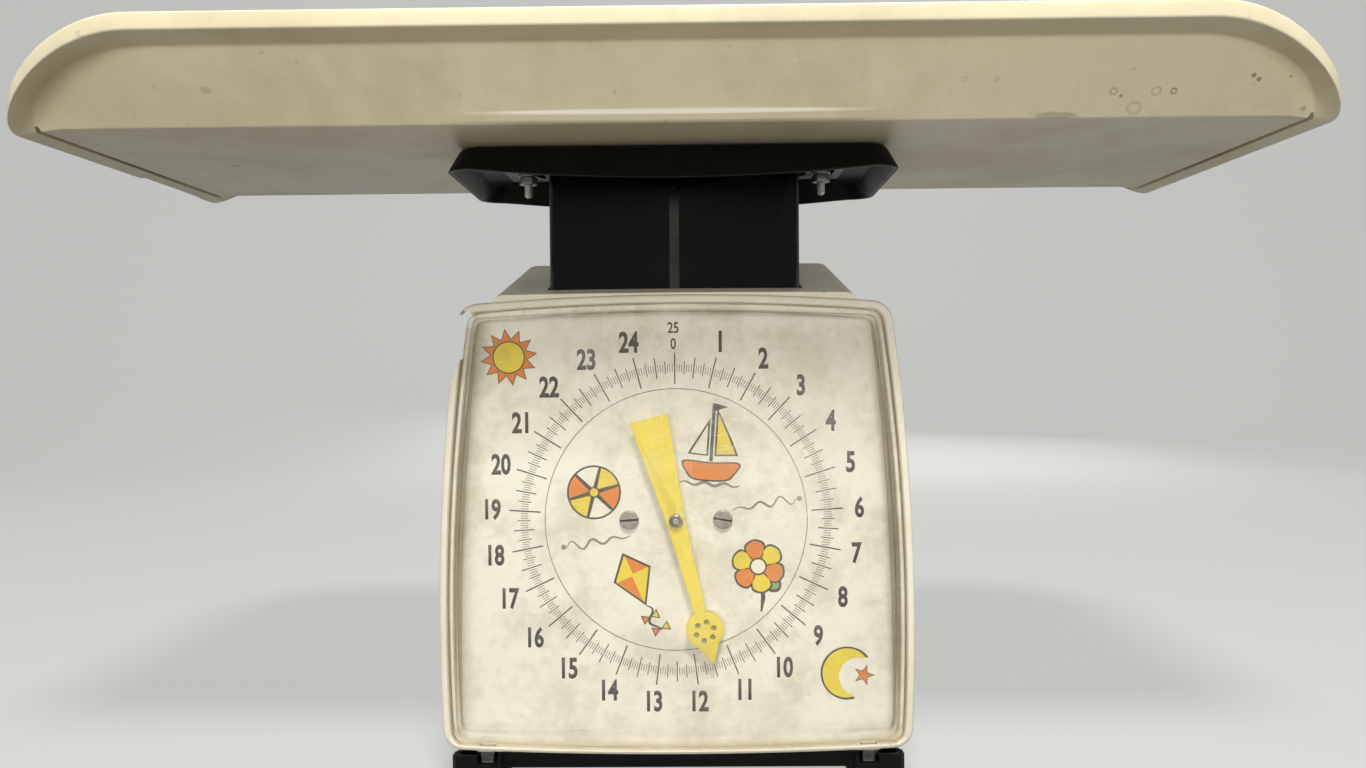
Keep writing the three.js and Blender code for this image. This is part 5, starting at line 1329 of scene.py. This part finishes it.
def makeSpring(node):
    s = spring
    low, high = boxOf(node)
    x, y = middleOf(node).xy
    count = s["turns"] * s["steps"]
    start, end = low.z + s["tail"], high.z - s["tail"]
    coil = []
    for i in range(count + 1):
        share = min(1, i / s["steps"] * 2, (count - i) / s["steps"] * 2)
        reach, angle = s["radius"] * sqrt(max(0.02, share)), 2 * pi * i / s["steps"]
        coil.append((x + reach * sin(angle), y + reach * cos(angle), start + (end - start) * i / count))
    points = [(x, y, low.z), (x, y, low.z + s["hook"]), *coil, (x, y, high.z - s["hook"]), (x, y, high.z)]
    line = softLine(points, [0, 1, 1.5] + [0] * (count - 1) + [1.5, 1, 0], 2)
    turnedPiece(node, tube(line, s["wire"], s["sides"]), steelBare, 60)


knurl = {"count": 72, "dips": ((0, 0.55), (0.22, 0.05), (0.5, 0), (0.78, 0.05))}
zeroAxis = (0, 57)


def makeZeroWheel():
    low, high = boxOf("zero_wheel")
    middle = middleOf("zero_wheel").x
    radius, rim = (high.x - low.x) / 2, high.z - wheel["rim"]
    outline = []
    for i in range(knurl["count"]):
        for part, dip in knurl["dips"]:
            angle = 2 * pi * (i + part) / knurl["count"]
            outline.append((middle + (radius - dip) * cos(angle), zeroAxis[1] + (radius - dip) * sin(angle)))
    piece = makePiece("zeroWheel.fine", *prism("z", outline, rim, high.z), blackPlastic)
    bevelPiece(piece, 0.35, 2, 60)
    hub = softProfile([(low.z, 4.2, 0), (low.z, 4.8, 0.2), (rim + 1, 4.8, 0), (rim + 1, 4, 0)])
    boolean(piece, lathe("z", hub, zeroAxis), "UNION")
    boolean(piece, ringBody("z", [(high.z + 2, 17.5, 0), (high.z - 1.4, 16.2, 0.5), (high.z - 1.4, 8.2, 0.5),
                                  (high.z + 2, 6.8, 0)], zeroAxis, 64))
    boolean(piece, prism("z", circlePoints(2.8, 32, zeroAxis), low.z - overcut, high.z + overcut))
    finishPiece(piece, "zero_wheel", degrees=35)


def makeZeroScrew():
    low, high = boxOf("zero_screw")
    profile = threadProfile(low.z, high.z - 1, 0.8, (1.6, 0.7, 2.4), 2.5, 2.15)
    profile += [(high.z - 0.6, 2.3), (high.z, 1.6)]
    turnedPiece("zero_screw", lathe("z", profile, zeroAxis, 32), steelBare, 60)


makeSpring("main_spring_left")
makeSpring("main_spring_right")
makeZeroWheel()
makeZeroScrew()
print("springs and zero wheel made")


# The CAD shapes of the other pieces, with soft edges: material and edge width

plainPieces = {
    "mechanism_frame": (steelBare, 0.35), "front_plate": (steelBare, 0.25), "bearing_bracket": (steelBare, 0.2),
    "spring_bridge": (zincPlate, 0.3), "spring_carriage": (steelBare, 0.3), "upper_lever": (steelBare, 0.3),
    "lower_lever": (steelBare, 0.3), "spring_yoke": (steelBare, 0.4), "rack": (brassCut, 0.08),
    "pinion": (brassCut, 0.06), "tray_nut_left": (zincPlate, 0.3), "tray_nut_right": (zincPlate, 0.3),
    "tray_washer_left": (zincPlate, 0.12), "tray_washer_right": (zincPlate, 0.12),
    "dial_post_left": (zincPlate, 0.15), "dial_post_right": (zincPlate, 0.15),
}
for node, (material, width) in plainPieces.items():
    dress(node, material, width)

# The base pan, with its slanting shoulders closed behind the bezel
basePan = {"edge": 0.6, "floor": 5.5, "play": 0.1,
           "shoulder": [(104, 1), (97, 8), (95, 8), (95, 6.5), (102.5, -1), (104, -1)]}
shoulders = [prism("z", [(side * x, bezelBack + y) for x, y in basePan["shoulder"]][::side],
                   boxOf("base_pan")[0].z + basePan["floor"], bottomEdge - basePan["play"]) for side in (-1, 1)]
dress("base_pan", blackPlastic, basePan["edge"], added=shoulders)
print("other pieces dressed:", len(plainPieces) + 1)


# Camera, stage and lights, in metres

view = {"place": (0.0091, -0.5337, 0.1946), "pitch": 89.12, "turn": 0.615, "roll": -0.49, "lens": 28.08}


def makeCamera():
    data = bpy.data.cameras.new("camera")
    data.lens, data.sensor_width, data.clip_start = view["lens"], 36, 0.01
    camera = addObject("camera", data)
    turn, pitch, roll = [Matrix.Rotation(radians(view[key]), 4, axis)
                         for key, axis in (("turn", "Z"), ("pitch", "X"), ("roll", "Z"))]
    camera.matrix_world = Matrix.Translation(view["place"]) @ turn @ pitch @ roll
    bpy.context.scene.camera = camera


def seenDirectly(tree):
    rays = addNode(tree, "ShaderNodeLightPath").outputs
    return doMath(tree, "MAXIMUM", rays["Is Camera Ray"],
                  doMath(tree, "MAXIMUM", rays["Is Glossy Ray"], rays["Is Transmission Ray"]))


# The floor looks pale to the camera and in reflections, but throws back little light
floorTones = {"seen": "#8f8f8d", "glow": "#b4b4b2", "bounce": "#747474"}
floorSizes = {"half": 4.0, "front": -3.0, "back": 1.4, "bend": 0.9, "top": 3.2, "steps": 14}


def makeFloorPaint():
    material, tree, shader = newMaterial("floorPaint")
    seen = seenDirectly(tree)
    feed(tree, shader.inputs, {
        "Base Color": mixColor(tree, seen, tone(floorTones["bounce"]), tone(floorTones["seen"])),
        "Emission Color": mixColor(tree, seen, (0, 0, 0, 1), tone(floorTones["glow"])),
        "Emission Strength": 1.0, "Roughness": 0.85, "Specular IOR Level": 0.1})
    return material


def makeStage():
    f = floorSizes
    bend = arc(f["bend"], -pi / 2, 0, f["steps"], (f["back"], f["bend"]))
    profile = [(f["front"], 0), *bend, (f["back"] + f["bend"], f["top"])]
    verts = [(x, y, z) for y, z in profile for x in (-f["half"], f["half"])]
    data = bpy.data.meshes.new("sweep")
    data.from_pydata(verts, [], [(2 * i, 2 * i + 1, 2 * i + 3, 2 * i + 2) for i in range(len(profile) - 1)])
    data.materials.append(makeFloorPaint())
    sweep = addObject("sweep", data)
    soften(sweep, 60)


# Lamps by place, aim height, size, power and whether reflections show them
lamps = {
    "key": ((0.06, -0.7, 1.28), 0.15, (0.26, 0.2), 15.5, True),
    "frontFill": ((-0.3, -1.9, 0.27), 0.2, (1.4, 0.42), 18.5, False),
    "rightFill": ((1.6, -0.5, 0.6), 0.2, (1.2, 0.9), 6, True),
    "leftFill": ((-1.7, 0.1, 0.6), 0.2, (1.0, 0.9), 3, True),
    "backFill": ((0.2, 1.7, 0.42), 0.2, (1.4, 0.5), 8, False),
}
worldLight = {"color": (1.0, 0.99, 0.97, 1), "strength": 0.1, "seen": 0.5}


def makeLights():
    for name, (place, aim, size, power, glossy) in lamps.items():
        data = bpy.data.lights.new(name, "AREA")
        data.shape = "RECTANGLE"
        data.size, data.size_y = size
        data.energy = power
        light = addObject(name, data)
        light.visible_glossy = glossy
        light.visible_camera = False
        way = (Vector((0, 0, aim)) - Vector(place)).to_track_quat("-Z", "Y")
        light.matrix_world = Matrix.Translation(place) @ way.to_matrix().to_4x4()
    world = bpy.data.worlds.new("studio")
    bpy.context.scene.world = world
    world.use_nodes = True
    tree = world.node_tree
    strength = addNode(tree, "ShaderNodeMapRange", {"Value": seenDirectly(tree), "To Min": worldLight["strength"],
                                                    "To Max": worldLight["seen"]}).outputs["Result"]
    feed(tree, tree.nodes["Background"].inputs, {"Color": worldLight["color"], "Strength": strength})


bpy.context.scene.view_settings.view_transform = "Standard"
makeCamera()
makeStage()
makeLights()
